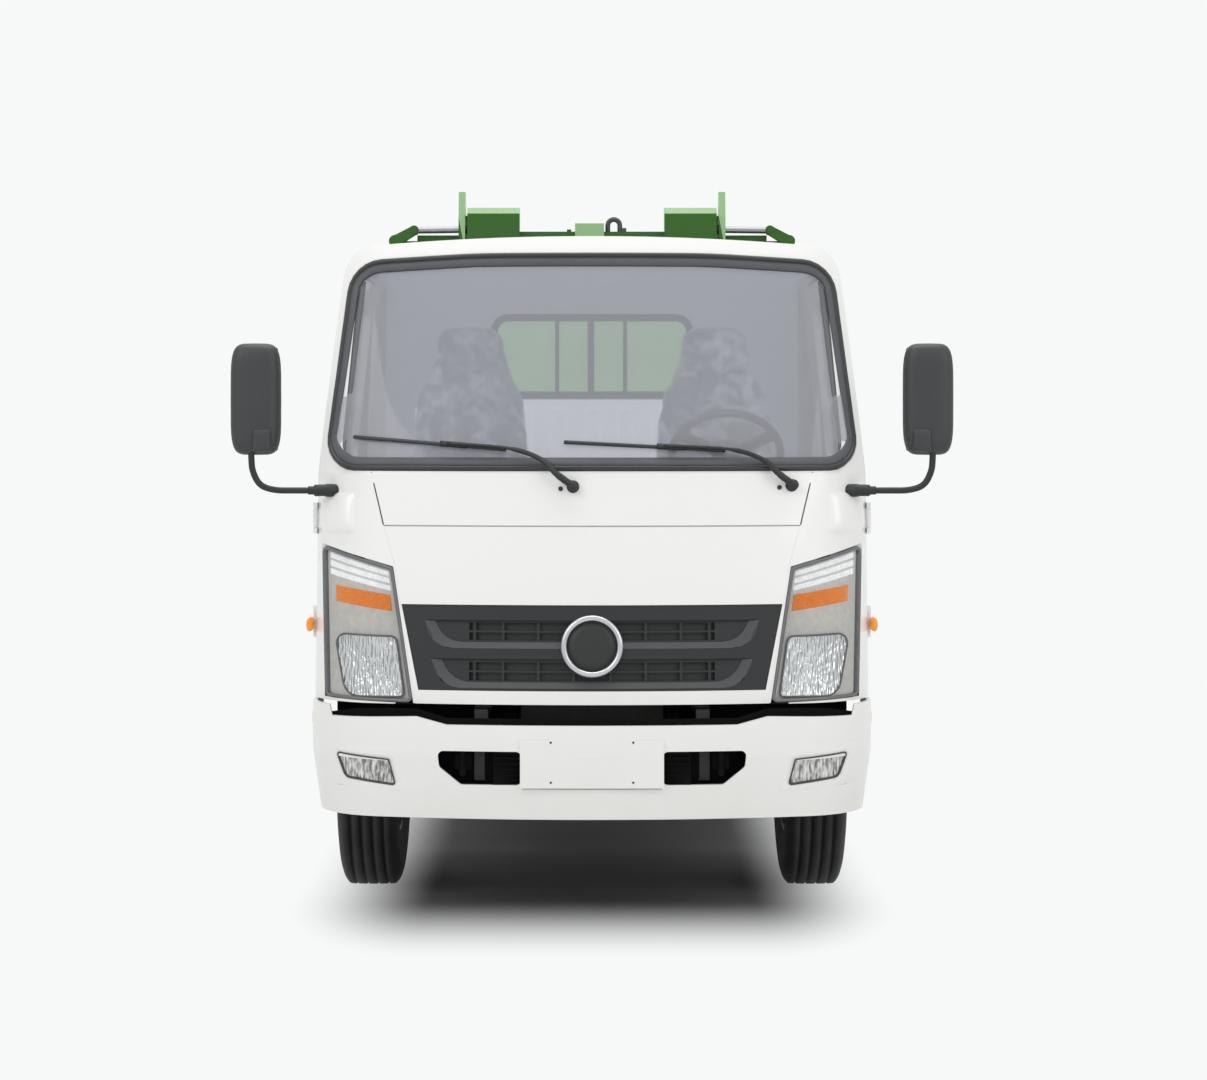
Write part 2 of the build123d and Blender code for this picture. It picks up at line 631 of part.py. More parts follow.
with BuildPart() as leaf_springs:
    for side in (-1, 1):
        front_x = sorted((side * SPRING_X[0], side * SPRING_X[1]))
        rear_x = sorted((side * REAR_SPRING_X[0], side * REAR_SPRING_X[1]))
        side_prism(spring_outline(FRONT_AXLE_S, 380, 590, 511, 4), front_x)
        side_prism(spring_outline(REAR_AXLE_S, 450, 640, 551, 6), rear_x)
        for s in (FRONT_AXLE_S - 585, FRONT_AXLE_S + 585):
            block(front_x, (s - 22, s + 22), (486, RAIL_LOW))
        for s in (REAR_AXLE_S - 635, REAR_AXLE_S + 635):
            block(rear_x, (s - 22, s + 22), (530, 620))
            block(sorted((side * HALF_FRAME, side * REAR_SPRING_X[1])), (s - 22, s + 22), (600, 660))
save(leaf_springs.part, "leaf_springs")

with BuildPart() as rear_mudguards:
    for side in (-1, 1):
        x = sorted((side * 480, side * 915))
        for radius, mode in ((434, Mode.ADD), (430, Mode.SUBTRACT)):
            rod_x((x[0] - (mode == Mode.SUBTRACT), x[1] + (mode == Mode.SUBTRACT)),
                  REAR_AXLE_S, TYRE_RADIUS, radius, mode)
        block((x[0] - 1, x[1] + 1), (REAR_AXLE_S - 500, REAR_AXLE_S + 500), (-100, 560), Mode.SUBTRACT)
        for s in (REAR_AXLE_S - 250, REAR_AXLE_S + 250):
            z = TYRE_RADIUS + math.sqrt(432 ** 2 - 250 ** 2)
            rod_x(sorted((side * HALF_FRAME, side * 905)), s, z + 6, 10)
            block(sorted((side * HALF_FRAME, side * (HALF_FRAME + 8))), (s - 25, s + 25), (650, z + 16))
save(rear_mudguards.part, "rear_mudguards")

# ---------------------------------------------------------------- steering knuckles and wheels
WHEEL_FRONT_X = FRONT_TRACK / 2

for side, name in ((1, "left"), (-1, "right")):
    with BuildPart() as knuckle:
        for z in ((308, 340), (430, 462)):
            rod_z(side * KINGPIN_X, FRONT_AXLE_S, z, 32)
            block(sorted((side * KINGPIN_X, side * 655)), (FRONT_AXLE_S - 30, FRONT_AXLE_S + 30), z)
        block(sorted((side * 639, side * 657)), (FRONT_AXLE_S - 50, FRONT_AXLE_S + 50), (308, 462))
        rod_x(sorted((side * 650, side * 657)), FRONT_AXLE_S, TYRE_RADIUS, 140)
        rod_x(sorted((side * 650, side * 815)), FRONT_AXLE_S, TYRE_RADIUS, STUB)
        rod_z(side * KINGPIN_X, FRONT_AXLE_S, (300, 470), KINGPIN + HUB_CLEAR, Mode.SUBTRACT)
    save(knuckle.part, f"knuckle_{name}")

TYRE_PROFILE = [   # (share of the width along the axle, radius), hollow inside the carcass
    (-0.40, BEAD_RADIUS), (-0.5, BEAD_RADIUS + 60), (-0.5, TYRE_RADIUS - 50),
    (-0.41, TYRE_RADIUS - 8), (-0.30, TYRE_RADIUS), (0.30, TYRE_RADIUS), (0.41, TYRE_RADIUS - 8),
    (0.5, TYRE_RADIUS - 50), (0.5, BEAD_RADIUS + 60), (0.40, BEAD_RADIUS), (0.33, BEAD_RADIUS),
    (0.41, BEAD_RADIUS + 60), (0.40, TYRE_RADIUS - 50), (0.30, TYRE_RADIUS - 22),
    (-0.30, TYRE_RADIUS - 22), (-0.40, TYRE_RADIUS - 50), (-0.41, BEAD_RADIUS + 60),
    (-0.33, BEAD_RADIUS)]


def turned(points):
    """A ring turned about the X axis from (distance along the axis, radius) points."""
    with BuildPart() as ring:
        with BuildSketch(Plane.XY):
            with BuildLine():
                Polyline(points, close=True)
            make_face()
        revolve(axis=Axis.X)
    return ring.part


def disc_ring(face, lean):
    """A dished wheel disc; face is its place along x, lean the way it bulges."""
    edge = face - lean * 30
    return turned([
        (edge - 4, BEAD_RADIUS - 11), (edge + 4, BEAD_RADIUS - 11), (face + 4, 150),
        (face + 4, 50), (face - 4, 50), (face - 4, 150)])


tyre_ring = turned([(a * TYRE_WIDTH, r) for a, r in TYRE_PROFILE])
rim_ring = turned([
    (-80, BEAD_RADIUS - 12), (-85, BEAD_RADIUS - 12), (-85, BEAD_RADIUS + 3),
    (-80, BEAD_RADIUS + 3), (-80, BEAD_RADIUS - FIT), (80, BEAD_RADIUS - FIT),
    (80, BEAD_RADIUS + 3), (85, BEAD_RADIUS + 3), (85, BEAD_RADIUS - 12), (80, BEAD_RADIUS - 12)])


for side, name in ((1, "left"), (-1, "right")):
    front_x = side * WHEEL_FRONT_X
    with BuildPart() as front_tyre:
        with Locations((front_x, aft(FRONT_AXLE_S), TYRE_RADIUS)):
            add(tyre_ring)
    save(front_tyre.part, f"tyre_front_{name}")

    front_disc = disc_ring(side * 30, side)
    with BuildPart() as front_rim:
        with Locations((front_x, aft(FRONT_AXLE_S), TYRE_RADIUS)):
            add(rim_ring)
            add(front_disc)
        rod_x(sorted((front_x - side * 60, front_x + side * 30)), FRONT_AXLE_S, TYRE_RADIUS, 128)
        rod_x(sorted((front_x + side * 30, front_x + side * 70)), FRONT_AXLE_S, TYRE_RADIUS, HUB_RADIUS)
        rod_x(sorted((front_x + side * 70, front_x + side * 108)), FRONT_AXLE_S, TYRE_RADIUS, 46)
        for turn in range(6):
            around = math.radians(60 * turn)
            rod_x(sorted((front_x, front_x + side * 60)), FRONT_AXLE_S + 158 * math.cos(around),
                  TYRE_RADIUS + 158 * math.sin(around), 17, Mode.SUBTRACT)
        rod_x(sorted((front_x - side * 61, front_x + side * 96)), FRONT_AXLE_S, TYRE_RADIUS,
              STUB + HUB_CLEAR, Mode.SUBTRACT)
    save(front_rim.part, f"rim_front_{name}")

    inner_x = side * (REAR_TRACK - TWIN_SPACING) / 2
    outer_x = side * (REAR_TRACK + TWIN_SPACING) / 2
    middle_x = side * REAR_TRACK / 2
    with BuildPart() as rear_tyres:
        for x in (inner_x, outer_x):
            with Locations((x, aft(REAR_AXLE_S), TYRE_RADIUS)):
                add(tyre_ring)
    save(rear_tyres.part, f"tyres_rear_{name}")

    inner_disc = disc_ring(-side * 4, side)
    outer_disc = disc_ring(side * 4, -side)
    with BuildPart() as rear_rims:
        for x in (inner_x, outer_x):
            with Locations((x, aft(REAR_AXLE_S), TYRE_RADIUS)):
                add(rim_ring)
        with Locations((middle_x, aft(REAR_AXLE_S), TYRE_RADIUS)):
            add(inner_disc)
            add(outer_disc)
        rod_x(sorted((side * 655, middle_x)), REAR_AXLE_S, TYRE_RADIUS, 128)
        rod_x(sorted((middle_x, side * 818)), REAR_AXLE_S, TYRE_RADIUS, HUB_RADIUS)
        for turn in range(6):
            around = math.radians(60 * turn)
            rod_x(sorted((middle_x - side * 12, middle_x + side * 30)),
                  REAR_AXLE_S + 158 * math.cos(around), TYRE_RADIUS + 158 * math.sin(around), 17,
                  Mode.SUBTRACT)
        rod_x(sorted((side * 650, side * 806)), REAR_AXLE_S, TYRE_RADIUS, STUB + HUB_CLEAR,
              Mode.SUBTRACT)
    save(rear_rims.part, f"rims_rear_{name}")

# ---------------------------------------------------------------- refuse body
HALF_TANK = TANK_WIDTH / 2
ROOF_FLAT = 780.0
HATCH_S = (1940.0, 3690.0)
HATCH_OPENING = 655.0
LID_AXIS_Z = 2205.0
LID_SHAFT = 12.0
LID_BEARINGS_S = (1866.0, 2500.0, 3140.0, 3706.0)
LID_PLANE_S = 1825.0
LID_BASE = (300.0, 2250.0)
LID_PIN = (650.0, 2245.0)
GATE_HINGE_S = 4825.0
GATE_HINGE_Z = 2140.0
GATE_PIN = 12.0
GATE_RAM_X = HALF_TANK + 32
GATE_LUG_X = (HALF_TANK - 50, HALF_TANK + 2)
RAM_PIN_END = HALF_TANK + 65
GATE_BASE = (4150.0, 1900.0)
GATE_LUG = (4850.0, 1750.0)
HOIST_PIN = 16.0
HOIST_EYE = 84.0      # half the gap between the brackets that hold the hoist's rod eye
HOIST_TOP = (2500.0, 840.0)
LIFT_S = 4950.0
LIFT_Z = 1850.0
LIFT_PIN = 16.0
LIFT_ARM_X = (690.0, 720.0)

with BuildPart() as refuse_body:
    front_prism(
        mirrored([(-HALF_TANK, TANK_FLOOR), (-HALF_TANK, TANK_EAVE), (-ROOF_FLAT, TANK_ROOF)]),
        (TANK_FRONT_S, TANK_REAR_S))
    front_prism(
        mirrored([(-HALF_TANK + TANK_WALL, TANK_FLOOR + TANK_WALL),
                  (-HALF_TANK + TANK_WALL, TANK_EAVE - 15),
                  (-ROOF_FLAT + 10, TANK_ROOF - TANK_WALL)]),
        (TANK_FRONT_S + TANK_WALL, TANK_REAR_S + 50), mode=Mode.SUBTRACT)
    block((-HATCH_OPENING, HATCH_OPENING), HATCH_S, (TANK_ROOF - 60, TANK_ROOF + 20), Mode.SUBTRACT)
    for s in (1960, 2380, 3200, 4700):
        block((-HALF_TANK + 6, HALF_TANK - 6), (s - 22, s + 22), (TANK_FLOOR - 40, TANK_FLOOR + 5))
    for side in (-1, 1):
        block(sorted((side * SILL[0], side * SILL[1])), (SUBFRAME_FRONT_S, 4640),
              (SUBFRAME_TOP, TANK_FLOOR + 5))
        rod_x(sorted((side * SILL[0], side * SILL[1])), TIP_S, TIP_Z, 42)
        rod_x(sorted((side * 280, side * 353)), TIP_S, TIP_Z, TIP_PIN + FIT, Mode.SUBTRACT)
        for x in ((480, 504), (556, 580)):
            span = sorted((side * x[0], side * x[1]))
            block(span, (4740, GATE_HINGE_S), (GATE_HINGE_Z - 14, TANK_ROOF))
            rod_x(span, GATE_HINGE_S, GATE_HINGE_Z, 26)
        rod_x(sorted((side * 480, side * 580)), GATE_HINGE_S, GATE_HINGE_Z, GATE_PIN)
        block(sorted((side * (HALF_TANK - 10), side * (HALF_TANK + 7))),
              (GATE_BASE[0] - 70, GATE_BASE[0] + 70), (GATE_BASE[1] - 60, GATE_BASE[1] + 60))
        rod_x(sorted((side * HALF_TANK, side * RAM_PIN_END)), GATE_BASE[0], GATE_BASE[1], GATE_PIN)
        block(sorted((side * HOIST_EYE, side * 106)), (HOIST_TOP[0] - 40, HOIST_TOP[0] + 40),
              (HOIST_TOP[1] - 30, TANK_FLOOR + 5))
        for s in LID_BEARINGS_S:
            block(sorted((side * (HATCH_HALF - 18), side * (HATCH_HALF + 18))), (s, s + 26),
                  (TANK_ROOF - 5, LID_AXIS_Z))
            rod_s(side * HATCH_HALF, (s, s + 26), LID_AXIS_Z, 20)
            rod_s(side * HATCH_HALF, (s - 1, s + 27), LID_AXIS_Z, LID_SHAFT + FIT, Mode.SUBTRACT)
        rod_x(sorted((side * HOIST_EYE, side * 116)), *HOIST_TOP, 30)
save(refuse_body.part, "refuse_body")

# ---------------------------------------------------------------- lid drive on the front of the roof
GEAR_S = (1790.0, 1860.0)
BEAM_S = (1854.0, 1898.0)
GUARD_X = (264.0, 455.0)
GUARD_TOP = 2326.0
EAR_X = (463.0, 487.0)
EAR_TOP = 2385.0

with BuildPart() as roof_gear:
    block((-690, 690), BEAM_S, (TANK_ROOF, 2208))
    block((-GUARD_X[0], GUARD_X[0]), (1830, BEAM_S[1]), (TANK_ROOF, 2241))
    block((-62, 44), (1800, 1890), (2200, 2269))
    for side in (-1, 1):
        guard_x = sorted((side * GUARD_X[0], side * GUARD_X[1]))
        side_prism([(GEAR_S[0] + 14, GUARD_TOP), (GEAR_S[0], GUARD_TOP - 22), (GEAR_S[0], 2205),
                    (GEAR_S[1], 2205), (GEAR_S[1], GUARD_TOP)], guard_x)
        block((guard_x[0] + 6, guard_x[1] - 6), (GEAR_S[0] + 6, GEAR_S[1] - 6), (2190, GUARD_TOP - 26),
              Mode.SUBTRACT)
        ear_x = sorted((side * EAR_X[0], side * EAR_X[1]))
        side_prism([(1795, TANK_ROOF), (1795, 2290), (1815, EAR_TOP), (1862, EAR_TOP),
                    (BEAM_S[1], 2270), (BEAM_S[1], TANK_ROOF)], ear_x)
        block(sorted((side * GUARD_X[1], side * EAR_X[0])), (1850, 1890), (2200, 2300))
        block(sorted((side * 440, side * 495)), (LID_PLANE_S - 25, LID_PLANE_S + 25), (2200, 2300),
              Mode.SUBTRACT)
        block(sorted((side * EAR_X[1], side * 642)), (1866, 1890), (2200, 2230))
        rod_s(side * LID_BASE[0], (GEAR_S[0] + 3, GEAR_S[1] - 3), LID_BASE[1], 8)
    with BuildLine(Plane.XZ.offset(-aft(1850))):
        hose_end = Line((58, 2230), (58, 2265))
        ThreePointArc((58, 2265), (80, 2287), (102, 2265))
        Line((102, 2265), (102, 2230))
    with BuildSketch(Plane(origin=hose_end @ 0, z_dir=(0, 0, 1))):
        Circle(9)
    sweep()
    block((108, 126), (1840, 1860), (2225, 2255))
    block((-92, -76), (1842, 1858), (2225, 2250))
save(roof_gear.part, "roof_gear")


def along(start, end, distance):
    """The (x, s, z) point a given distance along the line from start towards end."""
    length = math.dist(start, end)
    return tuple(a + (b - a) * distance / length for a, b in zip(start, end))


for side, name in ((1, "left"), (-1, "right")):
    pivot = (side * HATCH_HALF, LID_AXIS_Z)
    with BuildPart() as lid:
        block(sorted((side * 4, side * 694)), (1906, 3730), (2176, 2188))
        for x in ((4, 14), (684, 694)):
            block(sorted((side * x[0], side * x[1])), (1906, 3730), (2176, 2206))
        for s in (1906, 2350, 2818, 3260, 3720):
            block(sorted((side * 4, side * 694)), (s, s + 10), (2176, 2206))
        for s in (1960, 2640, 3560):
            block(sorted((side * 690, side * HATCH_HALF)), (s, s + 60), (2190, 2208))
        rod_s(side * HATCH_HALF, (1806, 3738), LID_AXIS_Z, LID_SHAFT)
        for s in (LID_PLANE_S - 20, LID_PLANE_S + 12):
            crank = (s, s + 8)
            rod_s(side * HATCH_HALF, crank, LID_AXIS_Z, 22)
            rod_s(side * LID_PIN[0], crank, LID_PIN[1], 17)
            front_prism(
                [(side * (HATCH_HALF - 8), LID_AXIS_Z - 18), (side * (LID_PIN[0] - 6), LID_PIN[1] - 15),
                 (side * (LID_PIN[0] + 6), LID_PIN[1] + 15), (side * (HATCH_HALF + 8), LID_AXIS_Z + 18)],
                crank)
        rod_s(side * LID_PIN[0], (LID_PLANE_S - 25, LID_PLANE_S - 19), LID_PIN[1], 11)
        rod_s(side * LID_PIN[0], (LID_PLANE_S + 19, LID_PLANE_S + 25), LID_PIN[1], 11)
    save(lid.part, f"lid_{name}")

    base = (side * LID_BASE[0], LID_PLANE_S, LID_BASE[1])
    pin = (side * LID_PIN[0], LID_PLANE_S, LID_PIN[1])
    with BuildPart() as lid_barrel:
        rod_s(base[0], (LID_PLANE_S - 14, LID_PLANE_S + 14), base[2], 14)
        bar_between(along(base, pin, 8), along(base, pin, 182), 16)
        bar_between(along(base, pin, 26), along(base, pin, 190), 12.5, Mode.SUBTRACT)
        rod_s(base[0], (LID_PLANE_S - 20, LID_PLANE_S + 20), base[2], 8 + FIT, Mode.SUBTRACT)
    save(lid_barrel.part, f"lid_barrel_{name}")

    with BuildPart() as lid_rod:
        bar_between(along(base, pin, 32), along(base, pin, 342), 12)
        rod_s(pin[0], (LID_PLANE_S - 6, LID_PLANE_S + 6), pin[2], 15)
    save(lid_rod.part, f"lid_rod_{name}")

# ---------------------------------------------------------------- tailgate and its rams
with BuildPart() as tailgate:
    front_prism(
        mirrored([(-HALF_TANK + 8, TANK_FLOOR - 10), (-HALF_TANK + 8, TANK_EAVE), (-ROOF_FLAT, 2102)]),
        (4800, 4850))
    for z in (900, 1300, 1690, 2010):
        block((-HALF_TANK + 12, HALF_TANK - 12), (4850, 4872), (z, z + 60))
    for side in (-1, 1):
        block(sorted((side * (HALF_TANK - 70), side * (HALF_TANK - 12))), (4850, 4872), (900, TANK_EAVE - 5))
        knuckle_x = sorted((side * 508, side * 552))
        block(knuckle_x, (4806, 4850), (2090, GATE_HINGE_Z))
        rod_x(knuckle_x, GATE_HINGE_S, GATE_HINGE_Z, 25)
        rod_x(knuckle_x, GATE_HINGE_S, GATE_HINGE_Z, GATE_PIN + FIT, Mode.SUBTRACT)
        block(sorted((side * GATE_LUG_X[0], side * GATE_LUG_X[1])), (4830, 4880),
              (GATE_LUG[1] - 40, GATE_LUG[1] + 40))
        rod_x(sorted((side * GATE_LUG_X[0], side * GATE_LUG_X[1])), *GATE_LUG, 26)
        for x in ((600, 622), (655, 677)):
            side_prism([(4850, LIFT_Z - 120), (4850, LIFT_Z + 120), (LIFT_S + 30, LIFT_Z + 35),
                        (LIFT_S + 30, LIFT_Z - 35)], sorted((side * x[0], side * x[1])))
        rod_x(sorted((side * 600, side * 677)), LIFT_S, LIFT_Z, 48)
        rod_x(sorted((side * 600, side * 735)), LIFT_S, LIFT_Z, LIFT_PIN)
save(tailgate.part, "tailgate")

with BuildPart() as gate_barrels:
    for side in (-1, 1):
        base = (side * GATE_RAM_X, *GATE_BASE)
        lug = (side * GATE_RAM_X, *GATE_LUG)
        eye = sorted((side * (GATE_RAM_X - 20), side * (GATE_RAM_X + 20)))
        rod_x(eye, *GATE_BASE, 24)
        bar_between(along(base, lug, 16), along(base, lug, 480), 22)
        bar_between(along(base, lug, 40), along(base, lug, 490), 14 + FIT, Mode.SUBTRACT)
        rod_x((eye[0] - 1, eye[1] + 1), *GATE_BASE, GATE_PIN + FIT, Mode.SUBTRACT)
save(gate_barrels.part, "gate_barrels")

with BuildPart() as gate_rods:
    for side in (-1, 1):
        base = (side * GATE_RAM_X, *GATE_BASE)
        lug = (side * GATE_RAM_X, *GATE_LUG)
        bar_between(along(base, lug, 60), along(base, lug, 700), 14)
        rod_x(sorted((side * (GATE_LUG_X[1] + FIT), side * (GATE_RAM_X + 20))), *GATE_LUG, 22)
        rod_x(sorted((side * GATE_RAM_X, side * (GATE_RAM_X + 30))), *GATE_LUG, GATE_PIN)
save(gate_rods.part, "gate_rods")

with BuildPart() as lift_arm:
    for side in (-1, 1):
        x = sorted((side * LIFT_ARM_X[0], side * LIFT_ARM_X[1]))
        side_prism([(LIFT_S - 32, LIFT_Z), (LIFT_S + 32, LIFT_Z), (5160, 900), (5160, 800),
                    (5090, 800), (5080, 900)], x)
        rod_x(x, LIFT_S, LIFT_Z, 38)
    rod_x((-705, 705), 5040, 1450, 24)
    block((-705, 705), (5100, 5150), (810, 890))
    for step in range(-5, 6):
        side_prism([(5140, 850), (5140, 885), (5180, 930), (5200, 930), (5200, 905)],
                   (step * 125 - 15, step * 125 + 15))
    rod_x((-740, 740), LIFT_S, LIFT_Z, LIFT_PIN + FIT, Mode.SUBTRACT)
save(lift_arm.part, "lift_arm")

# ---------------------------------------------------------------- hoist under the body
hoist_base = (0.0, HOIST_S, HOIST_Z)
hoist_top = (0.0, *HOIST_TOP)
HOIST_LENGTH = math.dist(hoist_base, hoist_top)

with BuildPart() as hoist_barrel:
    rod_x((-78, 78), HOIST_S, HOIST_Z, 36)
    bar_between(along(hoist_base, hoist_top, 20), along(hoist_base, hoist_top, 735), 62)
    bar_between(along(hoist_base, hoist_top, 90), along(hoist_base, hoist_top, 745), 50, Mode.SUBTRACT)
    rod_x((-79, 79), HOIST_S, HOIST_Z, HOIST_PIN + FIT, Mode.SUBTRACT)
save(hoist_barrel.part, "hoist_barrel")

with BuildPart() as hoist_stage:
    bar_between(along(hoist_base, hoist_top, 110), along(hoist_base, hoist_top, 780), 49.5)
    bar_between(along(hoist_base, hoist_top, 150), along(hoist_base, hoist_top, 790), 33 + FIT,
                Mode.SUBTRACT)
save(hoist_stage.part, "hoist_stage")

with BuildPart() as hoist_rod:
    bar_between(along(hoist_base, hoist_top, 170), along(hoist_base, hoist_top, HOIST_LENGTH - 12), 33)
    rod_x((-HOIST_EYE + FIT, HOIST_EYE - FIT), *HOIST_TOP, 30)
save(hoist_rod.part, "hoist_rod")

# ---------------------------------------------------------------- cab fittings
SEAT_X = 420.0
SEAT_HALF = 235.0
WHEEL_CENTRE = (430.0, 680.0, 1432.0)
COLUMN_TILT = 50.0

with BuildPart() as seats:
    for x in (-SEAT_X, SEAT_X):
        side_prism([(740, DECK_TOP), (725, DECK_TOP + 120), (760, DECK_TOP + 150), (1190, DECK_TOP + 115),
                    (1190, DECK_TOP)], (x - SEAT_HALF, x + SEAT_HALF))
        side_prism([(1150, DECK_TOP), (1165, DECK_TOP + 160), (1230, 1640), (1250, 1665), (1320, 1665),
                    (1345, 1640), (1290, DECK_TOP)], (x - SEAT_HALF, x + SEAT_HALF))
        block((x - 130, x + 130), (1255, 1335), (1690, 1856))
        for post in (-60, 60):
            rod_z(x + post, 1295, (1660, 1695), 7)
save(seats.part, "seats")

dash_form = cab_form(CAB_WALL + 3)
column_top = Vector(0, math.sin(math.radians(COLUMN_TILT)), math.cos(math.radians(COLUMN_TILT)))
column_end = (WHEEL_CENTRE[0], WHEEL_CENTRE[1] - 190 * column_top.Y, WHEEL_CENTRE[2] - 190 * column_top.Z)

with BuildPart() as dashboard:
    add(dash_form)
    side_prism([(100, 1208), (100, 1372), (430, 1372), (545, 1335), (560, 1250), (520, 1120), (300 + FIT, 1120),
                (300 + FIT, 1208)], (-728, 728), mode=Mode.INTERSECT)
    bar_between(column_end, WHEEL_CENTRE, 32 + FIT, Mode.SUBTRACT)
save(dashboard.part, "dashboard")

with BuildPart() as steering_wheel:
    with Locations(Location((WHEEL_CENTRE[0], aft(WHEEL_CENTRE[1]), WHEEL_CENTRE[2]),
                            (-COLUMN_TILT, 0, 0))):
        Torus(175, 13)
        Cylinder(48, 36)
        for turn in (0, 120, 240):
            with Locations(Location((0, 0, 0), (0, 0, turn + 90))):
                Box(170, 34, 14, align=(Align.MIN, Align.CENTER, Align.CENTER))
    bar_between(column_end, WHEEL_CENTRE, 32)
save(steering_wheel.part, "steering_wheel")

MIRROR_Z = (1436.0, 1776.0)
with BuildPart() as mirrors:
    for side in (-1, 1):
        block(sorted((side * 755, side * 850)), (235, 330), (1306, 1352))
        bar_between((side * 815, 285, 1330), (side * 985, 270, 1324), 13)
        bar_between((side * 980, 270, 1324), (side * 1036, 262, 1365), 13)
        bar_between((side * 1033, 262, 1360), (side * 1036, 255, 1470), 13)
        block(sorted((side * 948, side * 1100)), (215, 275), MIRROR_Z)
    fillet([e for e in mirrors.edges().filter_by(Axis.Y) if e.center().Z > 1430], 28)
    add(outer, mode=Mode.SUBTRACT)
save(mirrors.part, "mirrors")

WIPERS = (   # pivot, elbow, outer blade tip, inner blade tip, all (x, z)
    ((-60, 1342), (-334, 1452), (-733, 1488), (-275, 1416)),
    ((610, 1353), (322, 1458), (-87, 1467), (407, 1413)))
with BuildPart() as wipers:
    for pivot, elbow, outer_tip, inner_tip in WIPERS:
        foot = nose_s(*pivot)
        rod_s(pivot[0], (foot - 20, foot + 12), pivot[1], 13)
        spine = (pivot[0], foot - 16, pivot[1])
        knee = (elbow[0], nose_s(*elbow) - 28, elbow[1])
        bar_between(spine, knee, 6)
        tips = [(x, nose_s(x, z) - 17, z) for x, z in (outer_tip, inner_tip)]
        middle_x = (outer_tip[0] + inner_tip[0]) / 2
        middle_z = (outer_tip[1] + inner_tip[1]) / 2
        middle = (middle_x, nose_s(middle_x, middle_z) - 17, middle_z)
        bar_between(tips[0], middle, 7)
        bar_between(middle, tips[1], 7)
        bar_between(knee, middle, 5)
    add(outer, mode=Mode.SUBTRACT)
save(wipers.part, "wipers")
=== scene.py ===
import math
import random

import bmesh
import bpy
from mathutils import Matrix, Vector, noise
from mathutils.bvhtree import BVHTree


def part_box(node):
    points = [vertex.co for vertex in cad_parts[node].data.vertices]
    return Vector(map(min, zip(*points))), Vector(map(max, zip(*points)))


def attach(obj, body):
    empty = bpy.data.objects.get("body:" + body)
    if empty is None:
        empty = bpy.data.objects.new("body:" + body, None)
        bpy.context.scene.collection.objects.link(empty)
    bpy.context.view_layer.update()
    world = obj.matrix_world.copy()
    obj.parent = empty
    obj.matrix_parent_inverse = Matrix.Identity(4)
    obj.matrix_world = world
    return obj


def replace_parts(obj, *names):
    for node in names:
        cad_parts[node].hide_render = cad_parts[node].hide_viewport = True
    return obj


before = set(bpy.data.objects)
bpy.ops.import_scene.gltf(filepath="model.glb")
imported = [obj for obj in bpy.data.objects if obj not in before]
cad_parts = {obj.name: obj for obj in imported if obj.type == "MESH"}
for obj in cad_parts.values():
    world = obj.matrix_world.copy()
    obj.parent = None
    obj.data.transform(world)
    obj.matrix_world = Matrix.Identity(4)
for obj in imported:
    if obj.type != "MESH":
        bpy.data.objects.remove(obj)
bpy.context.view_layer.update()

# ---- studio ----
# A pale floor that fades into a white surround, two broad soft boxes and an overhead one.
# The floor keeps the truck's soft contact shadow, deepened by painted shade near the truck.
LENGTH = 5.2            # bumper face to the bin arm's teeth, metres
FRONT_Y = -LENGTH / 2
SURROUND_HEX = "F7F9F8"
FLOOR_HEX = "F2F4F3"    # the light that the floor throws back on the truck
# Painted shade: near the truck the floor shows the eye this darker grey, deepening the truck's
# shadow.
PAINTED_SHADE_HEX = "7C7D7C"    # the floor as seen in the truck's shade
ROOM_LIGHT = 0.57
# Where the floor's painted shade fades out into the surround.
PAINTED_SHADE_FADES = (("X", 0.50, 0.98), ("Y", -1.90, -2.86), ("Y", 2.0, 3.0))    # axis, from, to


def linear(hex_colour):
    """An sRGB hex colour as linear red, green and blue, with full alpha."""
    values = [int(hex_colour[i:i + 2], 16) / 255 for i in (0, 2, 4)]
    return [v / 12.92 if v <= 0.04045 else ((v + 0.055) / 1.055) ** 2.4 for v in values] + [1.0]


def feed(node, inputs):
    """Sets a node's sockets to plain values, or links them to other nodes' outputs."""
    for name, value in inputs.items():
        if isinstance(value, bpy.types.NodeSocket):
            node.id_data.links.new(value, node.inputs[name])
        else:
            node.inputs[name].default_value = value


def add_node(tree, kind, inputs=None, out=0, **settings):
    """Adds a shader node with its settings and inputs, and gives one of its outputs."""
    made = tree.nodes.new("ShaderNode" + kind)
    for name, value in settings.items():
        setattr(made, name, value)
    feed(made, inputs or {})
    return made.outputs[out] if made.outputs else made


def start_finish(name, inputs):
    """A new material, its node tree and its main shader with some sockets set."""
    finish = bpy.data.materials.new(name)
    finish.use_nodes = True
    shader = finish.node_tree.nodes["Principled BSDF"]
    feed(shader, inputs)
    return finish, finish.node_tree, shader


def seen_directly(tree):
    """1 for what the eye sees, also in gloss or through glass, and 0 for bounced light."""
    seen = add_node(tree, "LightPath", out="Is Camera Ray")
    rays = seen.node.outputs
    for ray in ("Is Glossy Ray", "Is Transmission Ray"):
        seen = add_node(tree, "Math", {0: seen, 1: rays[ray]}, operation="MAXIMUM")
    return seen


scene = bpy.context.scene
scene.view_settings.view_transform = "Standard"

world = bpy.data.worlds.new("soft white room")
scene.world = world
world.use_nodes = True
tree = world.node_tree
tree.nodes.clear()
room = add_node(tree, "Background", {"Color": (1, 1, 1, 1), "Strength": ROOM_LIGHT})
backdrop = add_node(tree, "Background", {"Color": linear(SURROUND_HEX), "Strength": 1.0})
both = add_node(tree, "MixShader", {0: seen_directly(tree), 1: room, 2: backdrop})
add_node(tree, "OutputWorld", {"Surface": both})

